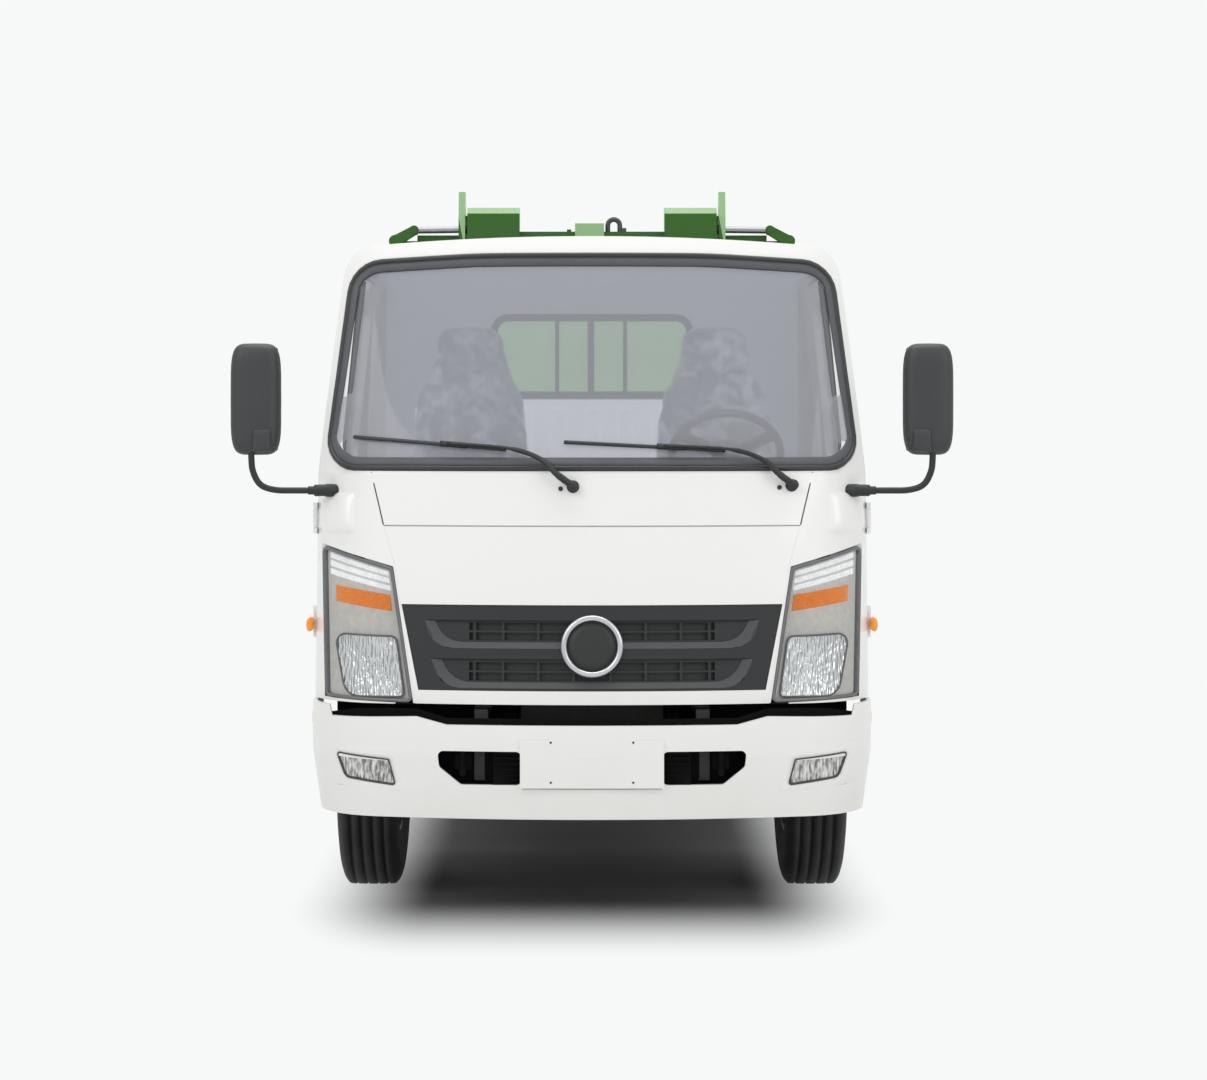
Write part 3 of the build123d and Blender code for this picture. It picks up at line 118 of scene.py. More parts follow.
finish, tree, shader = start_finish("matt white studio floor",
                                    {"Roughness": 0.9, "Specular IOR Level": 0.1})
place = add_node(tree, "TexCoord", out="Object")
spot = add_node(tree, "SeparateXYZ", {0: place}).node.outputs
wide = add_node(tree, "Math", {0: spot["X"]}, operation="ABSOLUTE")
wide, ahead, behind = (add_node(tree, "MapRange", {"Value": wide if axis == "X" else spot[axis],
                                                   "From Min": start, "From Max": stop})
                       for axis, start, stop in PAINTED_SHADE_FADES)
along = add_node(tree, "Math", {0: ahead, 1: behind}, operation="ADD")
flat = add_node(tree, "CombineXYZ", {0: wide, 1: along})
distance = add_node(tree, "VectorMath", {0: flat}, "Value", operation="LENGTH")
fade = add_node(tree, "MapRange", {"Value": distance}, interpolation_type="SMOOTHSTEP")
seen = seen_directly(tree)
share = add_node(tree, "Math", {0: fade, 1: seen}, operation="MULTIPLY")
# Painted shade: the eye sees the floor's darker grey, and bounced light takes the pale one.
tone = add_node(tree, "Mix", {0: seen, 6: linear(FLOOR_HEX), 7: linear(PAINTED_SHADE_HEX)}, 2,
                data_type="RGBA")
feed(shader, {"Base Color": tone})
glow = add_node(tree, "Emission", {"Color": linear(SURROUND_HEX), "Strength": 1.0})
both = add_node(tree, "MixShader", {0: share, 1: shader.outputs[0], 2: glow})
feed(tree.nodes["Material Output"], {"Surface": both})

data = bpy.data.meshes.new("studio_floor")
data.from_pydata([(-60, -60, 0), (60, -60, 0), (60, 60, 0), (-60, 60, 0)], [], [(0, 1, 2, 3)])
data.materials.append(finish)
floor = bpy.data.objects.new("studio_floor", data)
scene.collection.objects.link(floor)

SOFT_BOXES = (   # place, point it faces, width, height, power in watts
    ((-5.0, -7.5, 5.5), (0, -1.5, 1.0), 5.0, 4.0, 150),
    ((5.5, -7.0, 4.5), (0, -1.5, 1.0), 5.0, 4.0, 115),
    ((0.0, -1.0, 7.5), (0, 0, 0), 6.0, 7.0, 280),
)
for number, (spot, target, width, height, power) in enumerate(SOFT_BOXES):
    light = bpy.data.lights.new(f"soft_box_{number}", "AREA")
    light.shape = "RECTANGLE"
    light.size, light.size_y, light.energy = width, height, power
    box = bpy.data.objects.new(light.name, light)
    box.location = spot
    box.rotation_euler = (Vector(target) - Vector(spot)).to_track_quat("-Z", "Y").to_euler()
    scene.collection.objects.link(box)

# The camera stands level in front of the bumper, on a lens of 26.6 degrees, with a slight
# lens shift that puts the horizon above the picture's middle.
CAMERA_DISTANCE = 7.5
CAMERA_HEIGHT = 1.5
PICTURE_WIDTH = 1207    # this and the next three are in pixels
FOCAL_LENGTH = 2548
SHIFT_ASIDE, SHIFT_DOWN = 11.5, 106
camera_data = bpy.data.cameras.new("level_camera")
camera_data.sensor_fit = "HORIZONTAL"
camera_data.sensor_width = 36.0
camera_data.lens = FOCAL_LENGTH / PICTURE_WIDTH * camera_data.sensor_width
camera_data.shift_x = SHIFT_ASIDE / PICTURE_WIDTH
camera_data.shift_y = -SHIFT_DOWN / PICTURE_WIDTH
camera_data.clip_end = 200
camera = bpy.data.objects.new("level_camera", camera_data)
camera.location = (0, FRONT_Y - CAMERA_DISTANCE, CAMERA_HEIGHT)
camera.rotation_euler = (math.radians(90), 0, 0)
scene.collection.objects.link(camera)
scene.camera = camera

# ---- cab shell and doors ----
# Pressed steel cab, primed and sprayed in white two-pack enamel. The paint is smooth and
# hard with a faint orange peel, and holds a little road dust near the sills.
ROAD_DUST_HEX = "C9C6BE"
SMEAR_MM = 333.3       # width of a smear of dust
PEEL_MM = 6.0          # distance between paint ripples, coarse enough to show
PANEL_EDGE = 0.0035    # radius of a folded sheet edge, metres
SHARP_EDGE = 38        # degrees; a gentler bend between two faces is left as it is
DUST_FOOT = 0.35       # height at which the dust is thickest


def enamel(name, colour_hex, dust_hex, dust_top, roughness=0.3):
    """Sprayed enamel over steel, with dust that fades out at the height dust_top."""
    finish, tree, shader = start_finish(name, {"Coat Weight": 0.5, "Coat Roughness": 0.08,
                                               "IOR": 1.5})
    place = add_node(tree, "TexCoord", out="Object")
    height = add_node(tree, "SeparateXYZ", {0: place}, "Z")
    smear = add_node(tree, "TexNoise", {"Vector": place, "Scale": 1000 / SMEAR_MM, "Detail": 5.0,
                                        "Roughness": 0.6})
    low = add_node(tree, "MapRange", {"Value": height, "From Min": DUST_FOOT,
                                      "From Max": dust_top, "To Min": 1.0, "To Max": 0.0})
    dusty = add_node(tree, "Math", {0: low, 1: smear}, operation="MULTIPLY")
    dusty = add_node(tree, "Math", {0: dusty, 1: 0.5}, operation="MULTIPLY")
    colour = add_node(tree, "Mix", {0: dusty, 6: linear(colour_hex), 7: linear(dust_hex)}, 2,
                      data_type="RGBA")
    rough = add_node(tree, "MapRange", {"Value": dusty, "To Min": roughness, "To Max": 0.75})
    peel = add_node(tree, "TexNoise", {"Vector": place, "Scale": 1000 / PEEL_MM, "Detail": 2.0})
    relief = add_node(tree, "Bump", {"Strength": 0.04, "Distance": 0.0004, "Height": peel})
    feed(shader, {"Base Color": colour, "Roughness": rough, "Normal": relief})
    return finish


def round_edges(piece, radius, angle=30):
    """Rounds the edges of a piece that bend by more than an angle in degrees."""
    rounding = piece.modifiers.new("rounded edges", "BEVEL")
    rounding.width = radius
    rounding.segments = 2
    rounding.limit_method = "ANGLE"
    rounding.angle_limit = math.radians(angle)
    rounding.harden_normals = True


def dress(finish, edge, *nodes):
    """Gives CAD nodes their finish, and rounds their sharp edges by the radius edge."""
    for node in nodes:
        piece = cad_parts[node]
        for holder in piece.material_slots:
            holder.link = "OBJECT"
            holder.material = finish
        if edge:
            round_edges(piece, edge, SHARP_EDGE)


cab_white = enamel("white cab enamel", "EFEFED", ROAD_DUST_HEX, 1.1)
dress(cab_white, PANEL_EDGE, "cab_shell", "door_left", "door_right", "front_panel")

# ---- windows ----
# Laminated windscreen and toughened side glass with a light grey-violet tint. The sky's reflection
# in the glass is a painted reflection: a grey veil that only the eye sees over the cab's inside.
def glazing(name, painted_reflection_hex, least_painted_reflection):
    """Tinted glass: the eye sees a painted reflection, a grey veil over what lies behind, and light
    passes freely.
    """
    finish, tree, shader = start_finish(name, {"Base Color": linear(painted_reflection_hex),
                                               "Roughness": 0.03, "IOR": 1.45})
    clear = add_node(tree, "BsdfTransparent", {"Color": linear("F1F2F5")})
    fresnel = add_node(tree, "Fresnel", {"IOR": 1.5})
    veil = add_node(tree, "MapRange", {"Value": fresnel, "To Min": least_painted_reflection, "To Max": 1.0})
    seen = add_node(tree, "LightPath", out="Is Camera Ray")
    veil = add_node(tree, "Math", {0: veil, 1: seen}, operation="MULTIPLY")
    both = add_node(tree, "MixShader", {0: veil, 1: clear, 2: shader.outputs[0]})
    feed(tree.nodes["Material Output"], {"Surface": both})
    return finish


screen_glass = glazing("laminated windscreen", "9A9CA2", 0.64)
dress(screen_glass, 0, "windscreen")
dress(glazing("toughened side glass", "8F9496", 0.3), 0, "door_glass_left", "door_glass_right")

# ---- windscreen seal ----
# Extruded rubber channel that grips the glass and the steel flange. It is satin black, with a
# crowned outer lip and a flatter inner lip coloured grey as a painted highlight for the light that
# it catches.
SEAL_CORNERS = [(-0.822, 1.388), (0.822, 1.388), (0.758, 2.044), (0.36, 2.064), (-0.36, 2.064),
                (-0.758, 2.044)]
SEAL_TURNS = (0.09, 0.09, 0.115, 3.0, 3.0, 0.115)
MOTTLE_MM = 111.1      # width of a patch of slightly uneven colour in a moulding
FAR_AHEAD = -6         # where a line of sight toward the truck's front starts, metres


def moulded(name, colour_hex, roughness, grain_mm=1.2, depth=0.0002):
    """Moulded plastic or rubber with a fine leather grain, coarse enough to show."""
    finish, tree, shader = start_finish(name, {"Roughness": roughness, "IOR": 1.5})
    place = add_node(tree, "TexCoord", out="Object")
    cells = add_node(tree, "TexVoronoi", {"Vector": place, "Scale": 1000 / grain_mm})
    tone = add_node(tree, "TexNoise", {"Vector": place, "Scale": 1000 / MOTTLE_MM, "Detail": 3.0})
    shade = add_node(tree, "MapRange", {"Value": tone, "To Min": 0.85, "To Max": 1.15})
    colour = add_node(tree, "Mix", {0: 1.0, 6: linear(colour_hex), 7: shade}, 2,
                      data_type="RGBA", blend_type="MULTIPLY")
    relief = add_node(tree, "Bump", {"Strength": 0.25, "Distance": depth, "Height": cells})
    feed(shader, {"Base Color": colour, "Normal": relief})
    return finish


def surface_of(*nodes):
    """The rest surface of some CAD nodes, for finding a place on them."""
    points, faces = [], []
    for node in nodes:
        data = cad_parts[node].data
        first = len(points)
        points += [corner.co.copy() for corner in data.vertices]
        faces += [[first + i for i in face.vertices] for face in data.polygons]
    return BVHTree.FromPolygons(points, faces)


def touch(skin, start, toward, lift=0.0):
    """Where a line from start meets a skin, lifted off it, and the skin's normal there."""
    spot, normal, _, _ = skin.ray_cast(Vector(start), Vector(toward))
    return spot + normal * lift, normal


cab_skin = surface_of("cab_shell", "windscreen", "front_panel", "grille", "headlamps",
                      "door_left", "door_right", "door_glass_left", "door_glass_right")


def on_front(x, z, lift=0.0):
    """The point of the cab's front at x and z, lifted off it by a small distance."""
    return touch(cab_skin, (x, FAR_AHEAD, z), (0, 1, 0), lift)


def rounded_outline(corners, turns, spacing=0.03):
    """Points round a closed outline whose corners are turned at the given radii."""
    count = len(corners)
    turns = turns if isinstance(turns, (list, tuple)) else [turns] * count
    outline = []
    for i in range(count):
        here = Vector(corners[i])
        back = (Vector(corners[i - 1]) - here).normalized()
        on = (Vector(corners[(i + 1) % count]) - here).normalized()
        half = back.angle(on) / 2
        centre = here + (back + on).normalized() * (turns[i] / math.sin(half))
        first = here + back * (turns[i] / math.tan(half)) - centre
        last = here + on * (turns[i] / math.tan(half)) - centre
        bend = first.angle_signed(last)
        start = math.atan2(first.y, first.x)
        for step in range(7):
            angle = start - bend * step / 6
            outline.append(centre + Vector((math.cos(angle), math.sin(angle))) * turns[i])
    filled = []
    for i, point in enumerate(outline):
        onward = outline[(i + 1) % len(outline)]
        pieces = max(1, round((onward - point).length / spacing))
        filled += [point.lerp(onward, k / pieces) for k in range(pieces)]
    return filled


def new_piece(name, points, faces, finish, body, smooth=True, bevel=0.0):
    """A mesh piece of the truck that rides on one of its bodies."""
    data = bpy.data.meshes.new(name)
    data.from_pydata([tuple(p) for p in points], [], faces)
    data.validate()
    cleaned = bmesh.new()
    cleaned.from_mesh(data)
    bmesh.ops.recalc_face_normals(cleaned, faces=cleaned.faces)
    cleaned.to_mesh(data)
    cleaned.free()
    data.materials.append(finish)
    for face in data.polygons:
        face.use_smooth = smooth
    piece = bpy.data.objects.new(name, data)
    scene.collection.objects.link(piece)
    if bevel:
        round_edges(piece, bevel)
    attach(piece, body)
    return piece


def net(rows, columns, closed=False, first=0):
    """Four-cornered faces between the points of a net, counted along its rows."""
    steps = columns if closed else columns - 1
    return [(first + r * columns + c, first + r * columns + (c + 1) % columns,
             first + (r + 1) * columns + (c + 1) % columns, first + (r + 1) * columns + c)
            for r in range(rows - 1) for c in range(steps)]


def swept(name, spots, profile, finish, body, closed=True):
    """A strip along (point, normal) spots; its section is (sideways, outward) pairs."""
    points, count, side = [], len(spots), len(profile)
    for i, (spot, normal) in enumerate(spots):
        before = spots[i - 1][0] if closed or i else spot
        after = spots[(i + 1) % count][0] if closed or i < count - 1 else spot
        across = normal.cross((after - before).normalized()).normalized()
        points += [spot + across * u + normal * v for u, v in profile]
    faces = net(count, side, closed=True)
    if closed:
        faces += [((count - 1) * side + k, (count - 1) * side + (k + 1) % side, (k + 1) % side, k)
                  for k in range(side)]
    else:
        faces += [tuple(range(side)), tuple(range((count - 1) * side, count * side))]
    return new_piece(name, points, faces, finish, body)


seal_rubber = moulded("satin black EPDM rubber", "2A2B2D", 0.42, grain_mm=3.0, depth=0.0001)
# Painted highlight: the inner lip is grey for the light that it catches.
lit_lip_grey = moulded("grey painted-highlight lip", "4E5054", 0.6, grain_mm=3.0, depth=0.00005)
rim = [on_front(p.x, p.y) for p in rounded_outline(SEAL_CORNERS, SEAL_TURNS)]
rim = [(spot, (rim[i - 1][1] + normal * 2 + rim[(i + 1) % len(rim)][1]).normalized())
       for i, (spot, normal) in enumerate(rim)]
swept("windscreen_seal", rim, [(0.0, 0.0), (0.002, 0.006), (0.008, 0.010), (0.014, 0.009),
                               (0.018, 0.003), (0.018, -0.002), (0.0, -0.002)], seal_rubber, "cab")
swept("windscreen_border", rim, [(0.016, -0.002), (0.016, 0.004), (0.026, 0.0038),
                                 (0.044, 0.0025), (0.046, -0.003)], lit_lip_grey, "cab")

# ---- headlamps ----
# Each lamp is a silver-grey tray under a clear polycarbonate cover: three rows of clear
# prisms, an amber block below them, and a faceted main reflector at the foot.
LAMP_CORNERS = ((0.535, 0.699), (0.809, 0.706), (0.826, 1.161), (0.600, 1.098))
WINDOW_SHARES = ((0.09, 0.04), (0.77, 0.02), (0.88, 0.43), (0.09, 0.48))    # within the lamp
WINDOW_TURNS = (0.012, 0.05, 0.03, 0.02)
LAMP_TURN = 0.016
TRAY_DEPTH = 0.012
FACET_MM = (6.667, 50.0, 29.41)    # size of a facet across, into and up the reflector
PYRAMID = ((0, 0), (1, 0), (1, 1), (0, 1), (0.5, 0.5))    # a prism's foot and its tip


def lamp_finish(name, colour_hex, roughness, metallic=0.0, streak_mm=16.67, glow=0.0):
    """A moulded or metallised lamp part with slight streaks from its tool, and a painted glow if
    glow is set.
    """
    colour = linear(colour_hex)
    finish, tree, shader = start_finish(name, {"Roughness": roughness, "Metallic": metallic})
    if glow:
        feed(shader, {"Emission Color": colour, "Emission Strength": glow})
    place = add_node(tree, "TexCoord", out="Object")
    streaks = add_node(tree, "TexNoise", {"Vector": place, "Scale": 1000 / streak_mm,
                                          "Detail": 2.0})
    tone = add_node(tree, "MapRange", {"Value": streaks, "To Min": 0.8, "To Max": 1.1})
    colour = add_node(tree, "Mix", {0: 1.0, 6: colour, 7: tone}, 2, data_type="RGBA",
                      blend_type="MULTIPLY")
    relief = add_node(tree, "Bump", {"Strength": 0.1, "Distance": 0.001, "Height": streaks})
    feed(shader, {"Base Color": colour, "Normal": relief})
    return finish


# Prisms glow faintly with painted light that stands for daylight from above, which a level eye sees
# as bounce; the glowing clear and amber prisms serve the tail lamps, side repeaters and bumper
# reflectors too.
tray_grey = lamp_finish("silver-grey lamp tray", "E4E1DB", 0.45, 0.05)
bezel_grey = lamp_finish("dark lamp bezel", "6E6E70", 0.4, 0.1)
prism_clear = lamp_finish("clear acrylic prism", "F6F7F8", 0.15, 0.1, glow=0.22)
prism_amber = lamp_finish("amber acrylic prism", "F79A2E", 0.15, glow=0.12)
reflector = lamp_finish("vacuum metallised reflector", "E4E5E6", 0.16, 0.9,
                        streak_mm=33.33)
tree = reflector.node_tree
place = add_node(tree, "TexCoord", out="Object")
stretch = add_node(tree, "VectorMath", {0: place, 1: [1000 / size for size in FACET_MM]},
                   operation="MULTIPLY")
facets = add_node(tree, "TexVoronoi", {"Vector": stretch, "Scale": 1.0})
relief = add_node(tree, "Bump", {"Strength": 0.75, "Distance": 0.004, "Height": facets})
feed(tree.nodes["Principled BSDF"], {"Normal": relief})

lamp_cover, tree, shader = start_finish("clear polycarbonate cover", {
    "Roughness": 0.03, "Base Color": linear("E4E6E8")})
clear = add_node(tree, "BsdfTransparent", {"Color": linear("F6F7F7")})
fresnel = add_node(tree, "Fresnel", {"IOR": 1.45})
veil = add_node(tree, "MapRange", {"Value": fresnel, "To Min": 0.02, "To Max": 0.8})
both = add_node(tree, "MixShader", {0: veil, 1: clear, 2: shader.outputs[0]})
feed(tree.nodes["Material Output"], {"Surface": both})


def inside(corners, u, v):
    """The point at shares u and v of a four-cornered outline given from its inner foot."""
    a, b, c, d = (Vector(corner) for corner in corners)
    return a.lerp(b, u).lerp(d.lerp(c, u), v)


def prisms(area, columns, rows, height, spot_at):
    """A block of pyramid prisms on an area; spot_at places a point of it at a height."""
    points, faces = [], []
    for row in range(rows):
        for column in range(columns):
            first = len(points)
            for number, (du, dv) in enumerate(PYRAMID):
                p = inside(area, (column + du) / columns, (row + dv) / rows)
                points.append(spot_at(p, height * (number == 4)))
            faces += [(first + i, first + (i + 1) % 4, first + 4) for i in range(4)]
    return points, faces


def lamp_prisms(area, columns, rows, height, side):
    """Prisms in the headlamp's tray, on an area in shares of the lamp."""
    def spot_at(p, up):
        q = inside(LAMP_CORNERS, p.x, p.y)
        return on_front(side * q.x, q.y, up + 0.001 - TRAY_DEPTH)[0]
    return prisms(area, columns, rows, height, spot_at)


def dish(corners, turns, lift, depth, side, wobble=0.0, wall=0.0, rings=8, skin=on_front):
    """A plate that fills a rounded outline, sunk at its middle, with a wall behind its rim."""
    rim = rounded_outline(corners, turns, 0.02)
    middle = sum(rim, Vector((0, 0))) / len(rim)
    chance = random.Random(4)
    points = [skin(side * middle.x, middle.y, lift - depth)[0]]
    for ring in range(1, rings + 1):
        share = ring / rings
        for p in rim:
            q = middle.lerp(p, share)
            drop = depth * (1 - share ** 2) + chance.uniform(-wobble, wobble) * (ring < rings)
            points.append(skin(side * q.x, q.y, lift - drop)[0])
    if wall:
        points += [skin(side * p.x, p.y, lift + wall)[0] for p in rim]
    count = len(rim)
    faces = [(0, 1 + i, 1 + (i + 1) % count) for i in range(count)]
    return points, faces + net(rings + (wall != 0), count, closed=True, first=1)


def rim_strip(name, corners, turns, side, profile, finish, body, skin=on_front, lift=0.0,
              spacing=0.02):
    """A strip along a rounded outline on the left or the right of the truck."""
    outline = [Vector((side * p.x, p.y)) for p in rounded_outline(corners, turns, spacing)]
    spots = [skin(p.x, p.y, lift) for p in (outline if side > 0 else reversed(outline))]
    return swept(name, spots, profile, finish, body)


for side, hand in ((1, "left"), (-1, "right")):
    tray = dish(LAMP_CORNERS, LAMP_TURN, -TRAY_DEPTH, 0.0, side, wall=0.011)
    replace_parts(new_piece(f"lamp_tray_{hand}", *tray, tray_grey, "cab"), "headlamps")
    new_piece(f"lamp_cover_{hand}", *dish(LAMP_CORNERS, LAMP_TURN, 0.0, 0.0, side), lamp_cover,
              "cab")
    rim_strip(f"lamp_bezel_{hand}", LAMP_CORNERS, LAMP_TURN, side,
              [(-0.001, -0.006), (-0.001, 0.001), (0.003, 0.0025), (0.009, 0.001),
               (0.009, -0.012)], bezel_grey, "cab")
    for row in range(3):
        foot = 0.815 + row * 0.055
        area = ((0.07, foot), (0.93, foot), (0.93, foot + 0.042), (0.07, foot + 0.042))
        new_piece(f"lamp_clear_row_{row}_{hand}", *lamp_prisms(area, 26, 3, 0.006, side),
                  prism_clear, "cab", smooth=False)
    area = ((0.10, 0.665), (0.86, 0.645), (0.86, 0.755), (0.10, 0.785))
    new_piece(f"lamp_amber_{hand}", *lamp_prisms(area, 22, 7, 0.004, side), prism_amber, "cab",
              smooth=False)
    window = [inside(LAMP_CORNERS, u, v) for u, v in WINDOW_SHARES]
    new_piece(f"lamp_reflector_{hand}",
              *dish(window, WINDOW_TURNS, -0.006, 0.005, side, wobble=0.0005),
              reflector, "cab", smooth=False)
    rim_strip(f"lamp_window_rim_{hand}", window, WINDOW_TURNS, side,
              [(-0.003, 0.0), (-0.002, 0.0025), (0.002, 0.0025), (0.003, 0.0)], bezel_grey, "cab",
              lift=-0.006)

# ---- grille lips and emblem ring ----
# Charcoal ABS moulding with an open mesh. The lower lips of its two air slots slope back to
# the mesh, and the ring in the middle is die-cast and chromed round a bare black disc.
LIPS = (   # name, outer edge and inner edge as (x, z), from the slot's end to the middle
    ("upper", ((0.500, 0.944), (0.495, 0.925), (0.486, 0.900), (0.470, 0.880), (0.445, 0.867),
               (0.415, 0.862), (0.0, 0.862)),
     ((0.470, 0.944), (0.462, 0.925), (0.449, 0.906), (0.430, 0.891), (0.410, 0.884),
      (0.390, 0.881), (0.0, 0.881))),
    ("lower", ((0.480, 0.830), (0.474, 0.810), (0.462, 0.785), (0.445, 0.765), (0.425, 0.751),
               (0.400, 0.745), (0.0, 0.745)),
     ((0.450, 0.830), (0.441, 0.810), (0.427, 0.790), (0.408, 0.775), (0.390, 0.767),
      (0.372, 0.763), (0.0, 0.763))),
)
NOSE_HALF, NOSE_BOW = 0.64, 0.075      # half width of the bowed nose and its bow's height
NOSE_RADIUS = (NOSE_HALF ** 2 + NOSE_BOW ** 2) / (2 * NOSE_BOW)
NOSE_FOOT_S, NOSE_FOOT_Z, NOSE_LEAN = 0.045, 0.695, 0.085 / 0.685    # lean per metre of height
EMBLEM_Z, EMBLEM_RADIUS = 0.869, 0.0935
FILM_MM = 142.9        # width of a patch of road film
GRIT_MM = 4.55         # drawn coarser than real grit, so that it shows
charcoal = moulded("charcoal ABS", "1D1E20", 0.6)
lip_charcoal = moulded("smooth charcoal ABS lip", "434447", 0.45)
black_plastic = moulded("black polypropylene", "1E1F20", 0.5)
dress(charcoal, 0.002, "grille")


def on_nose(x, z, lift=0.0):
    """A point of the grille's face, whose slots a ray would pass through."""
    across = math.sqrt(NOSE_RADIUS ** 2 - x ** 2)
    normal = Vector((x / across, -1, NOSE_LEAN)).normalized()
    s = NOSE_FOOT_S + NOSE_LEAN * (z - NOSE_FOOT_Z) + NOSE_RADIUS - across
    return Vector((x, FRONT_Y + s, z)) + normal * lift, normal


for name, outer, inner in LIPS:
    points = []
    for curve, lift in ((outer, -0.0025), (inner, -0.0115)):
        half = [Vector(p) for p in curve]
        half = half[:-1] + [half[-2].lerp(half[-1], k / 12) for k in range(1, 13)]
        whole = half + [Vector((-p.x, p.y)) for p in reversed(half[:-1])]
        points += [on_nose(p.x, p.y, lift)[0] for p in whole]
    new_piece(f"grille_lip_{name}", points, net(2, len(whole)), lip_charcoal, "cab")


def turned_piece(name, place, axis, profile, finish, body, steps=64):
    """A piece turned about an axis through place; profile is (radius, height) pairs."""
    turn = Vector((0, 0, 1)).rotation_difference(Vector(axis)).to_matrix()
    points, faces, rings = [], [], len(profile)
    for i in range(steps):
        angle = 2 * math.pi * i / steps
        points += [Vector(place) + turn @ Vector((r * math.cos(angle), r * math.sin(angle), h))
                   for r, h in profile]
        for k in range(rings - 1):
            a, b = i * rings + k, (i + 1) % steps * rings + k
            faces.append((a, b, b + 1, a + 1))
    return new_piece(name, points, faces, finish, body)


def worked_steel(name, colour_hex, film_hex, roughness, metallic=0.0):
    """Painted, plated or bare steel that carries a patchy road film over fine grit."""
    finish, tree, shader = start_finish(name, {"Metallic": metallic})
    place = add_node(tree, "TexCoord", out="Object")
    film = add_node(tree, "TexNoise", {"Vector": place, "Scale": 1000 / FILM_MM, "Detail": 8.0,
                                       "Roughness": 0.65})
    patch = add_node(tree, "MapRange", {"Value": film, "From Min": 0.42, "From Max": 0.75})
    colour = add_node(tree, "Mix", {0: patch, 6: linear(colour_hex), 7: linear(film_hex)}, 2,
                      data_type="RGBA")
    rough = add_node(tree, "MapRange", {"Value": patch, "To Min": roughness,
                                        "To Max": min(1.0, roughness + 0.3)})
    grit = add_node(tree, "TexNoise", {"Vector": place, "Scale": 1000 / GRIT_MM, "Detail": 3.0})
    relief = add_node(tree, "Bump", {"Strength": 0.2, "Distance": 0.0006, "Height": grit})
    feed(shader, {"Base Color": colour, "Roughness": rough, "Normal": relief})
    return finish


chrome_trim = worked_steel("satin chromed trim", "C9CBCE", "A9ABAE", 0.18, 0.9)
spot, normal = on_nose(0.0, EMBLEM_Z)
turned_piece("emblem_ring", spot, normal, [
    (EMBLEM_RADIUS - inward, height) for inward, height in (
        (0.0, -0.010), (0.0, 0.004), (0.004, 0.010), (0.010, 0.012), (0.016, 0.010),
        (0.019, 0.002))], chrome_trim, "cab")
turned_piece("emblem_disc", spot, normal, [
    (EMBLEM_RADIUS - 0.017, -0.012), (EMBLEM_RADIUS - 0.017, 0.003), (0.05, 0.005),
    (0.0005, 0.0055)], black_plastic, "cab")

# A black plastic air guide closes the space behind the mesh.
points = [on_nose(-0.50 + k * 0.05, z, -0.032)[0] for z in (0.742, 0.985) for k in range(21)]
new_piece("grille_air_guide", points, net(2, 21), black_plastic, "cab")

# ---- cowl seams and corner blisters ----
# Shut lines of the cowl's sides are sealed with thin dark rubber, and the hood's lower joint
# shows as a grey shadow. A pressed swelling under each mirror foot stiffens the cab's corner.
SEAM = ((0.629, 1.226), (0.642, 1.28), (0.656, 1.335), (0.668, 1.384))
BLISTER_MIDDLE, BLISTER_HALF = (0.778, 1.262), (0.062, 0.066)
joint_grey = moulded("shadowed panel joint", "9C9C99", 0.7)


def thin_line(name, spots, half, top, foot, finish, body):
    """A thin flat strip that draws a joint on a face."""
    swept(name, spots, [(-half, top), (half, top), (half, foot), (-half, foot)], finish, body,
          closed=False)


for side, hand in ((1, "left"), (-1, "right")):
    thin_line(f"cowl_seam_{hand}", [on_front(side * x, z) for x, z in SEAM], 0.0018, 0.0006,
              -0.002, seal_rubber, "cab")
    thin_line(f"cowl_joint_{hand}", [on_front(side * 0.627 * k / 20, 1.2245) for k in range(21)],
              0.0016, 0.0005, -0.002, joint_grey, "cab")
    points = []
    for row in range(13):
        for column in range(17):
            u, v = column / 8 - 1, row / 6 - 1
            rise = (1 - u ** 4) * (1 - v ** 4)
            points.append(on_front(side * (BLISTER_MIDDLE[0] + BLISTER_HALF[0] * u),
                                   BLISTER_MIDDLE[1] + BLISTER_HALF[1] * v,
                                   0.026 * rise ** 0.7 * (0.775 - 0.225 * v) - 0.004)[0])
    new_piece(f"corner_blister_{hand}", points, net(13, 17), cab_white, "cab")

# ---- mirrors ----
# Injection-moulded black head on a bent steel tube, clamped to a foot on the cab's corner.
# The glass faces aft.
MIRROR_X, MIRROR_Y, MIRROR_Z = 1.024, FRONT_Y + 0.245, 1.606
MIRROR_HALF = (0.076, 0.170, 0.030)    # half width, half height and half depth of the head
GLASS_HALF = (0.066, 0.158)
ARM_PATH = ((1.035, -0.004, 1.50), (1.035, -0.004, 1.43), (1.030, 0, 1.385), (1.008, 0.004, 1.346),
            (0.965, 0.010, 1.330), (0.90, 0.018, 1.328), (0.83, 0.028, 1.328))
FOOT_PATH = ((0.865, 0.022, 1.328), (0.845, 0.026, 1.328), (0.81, 0.034, 1.328),
             (0.765, 0.05, 1.326))


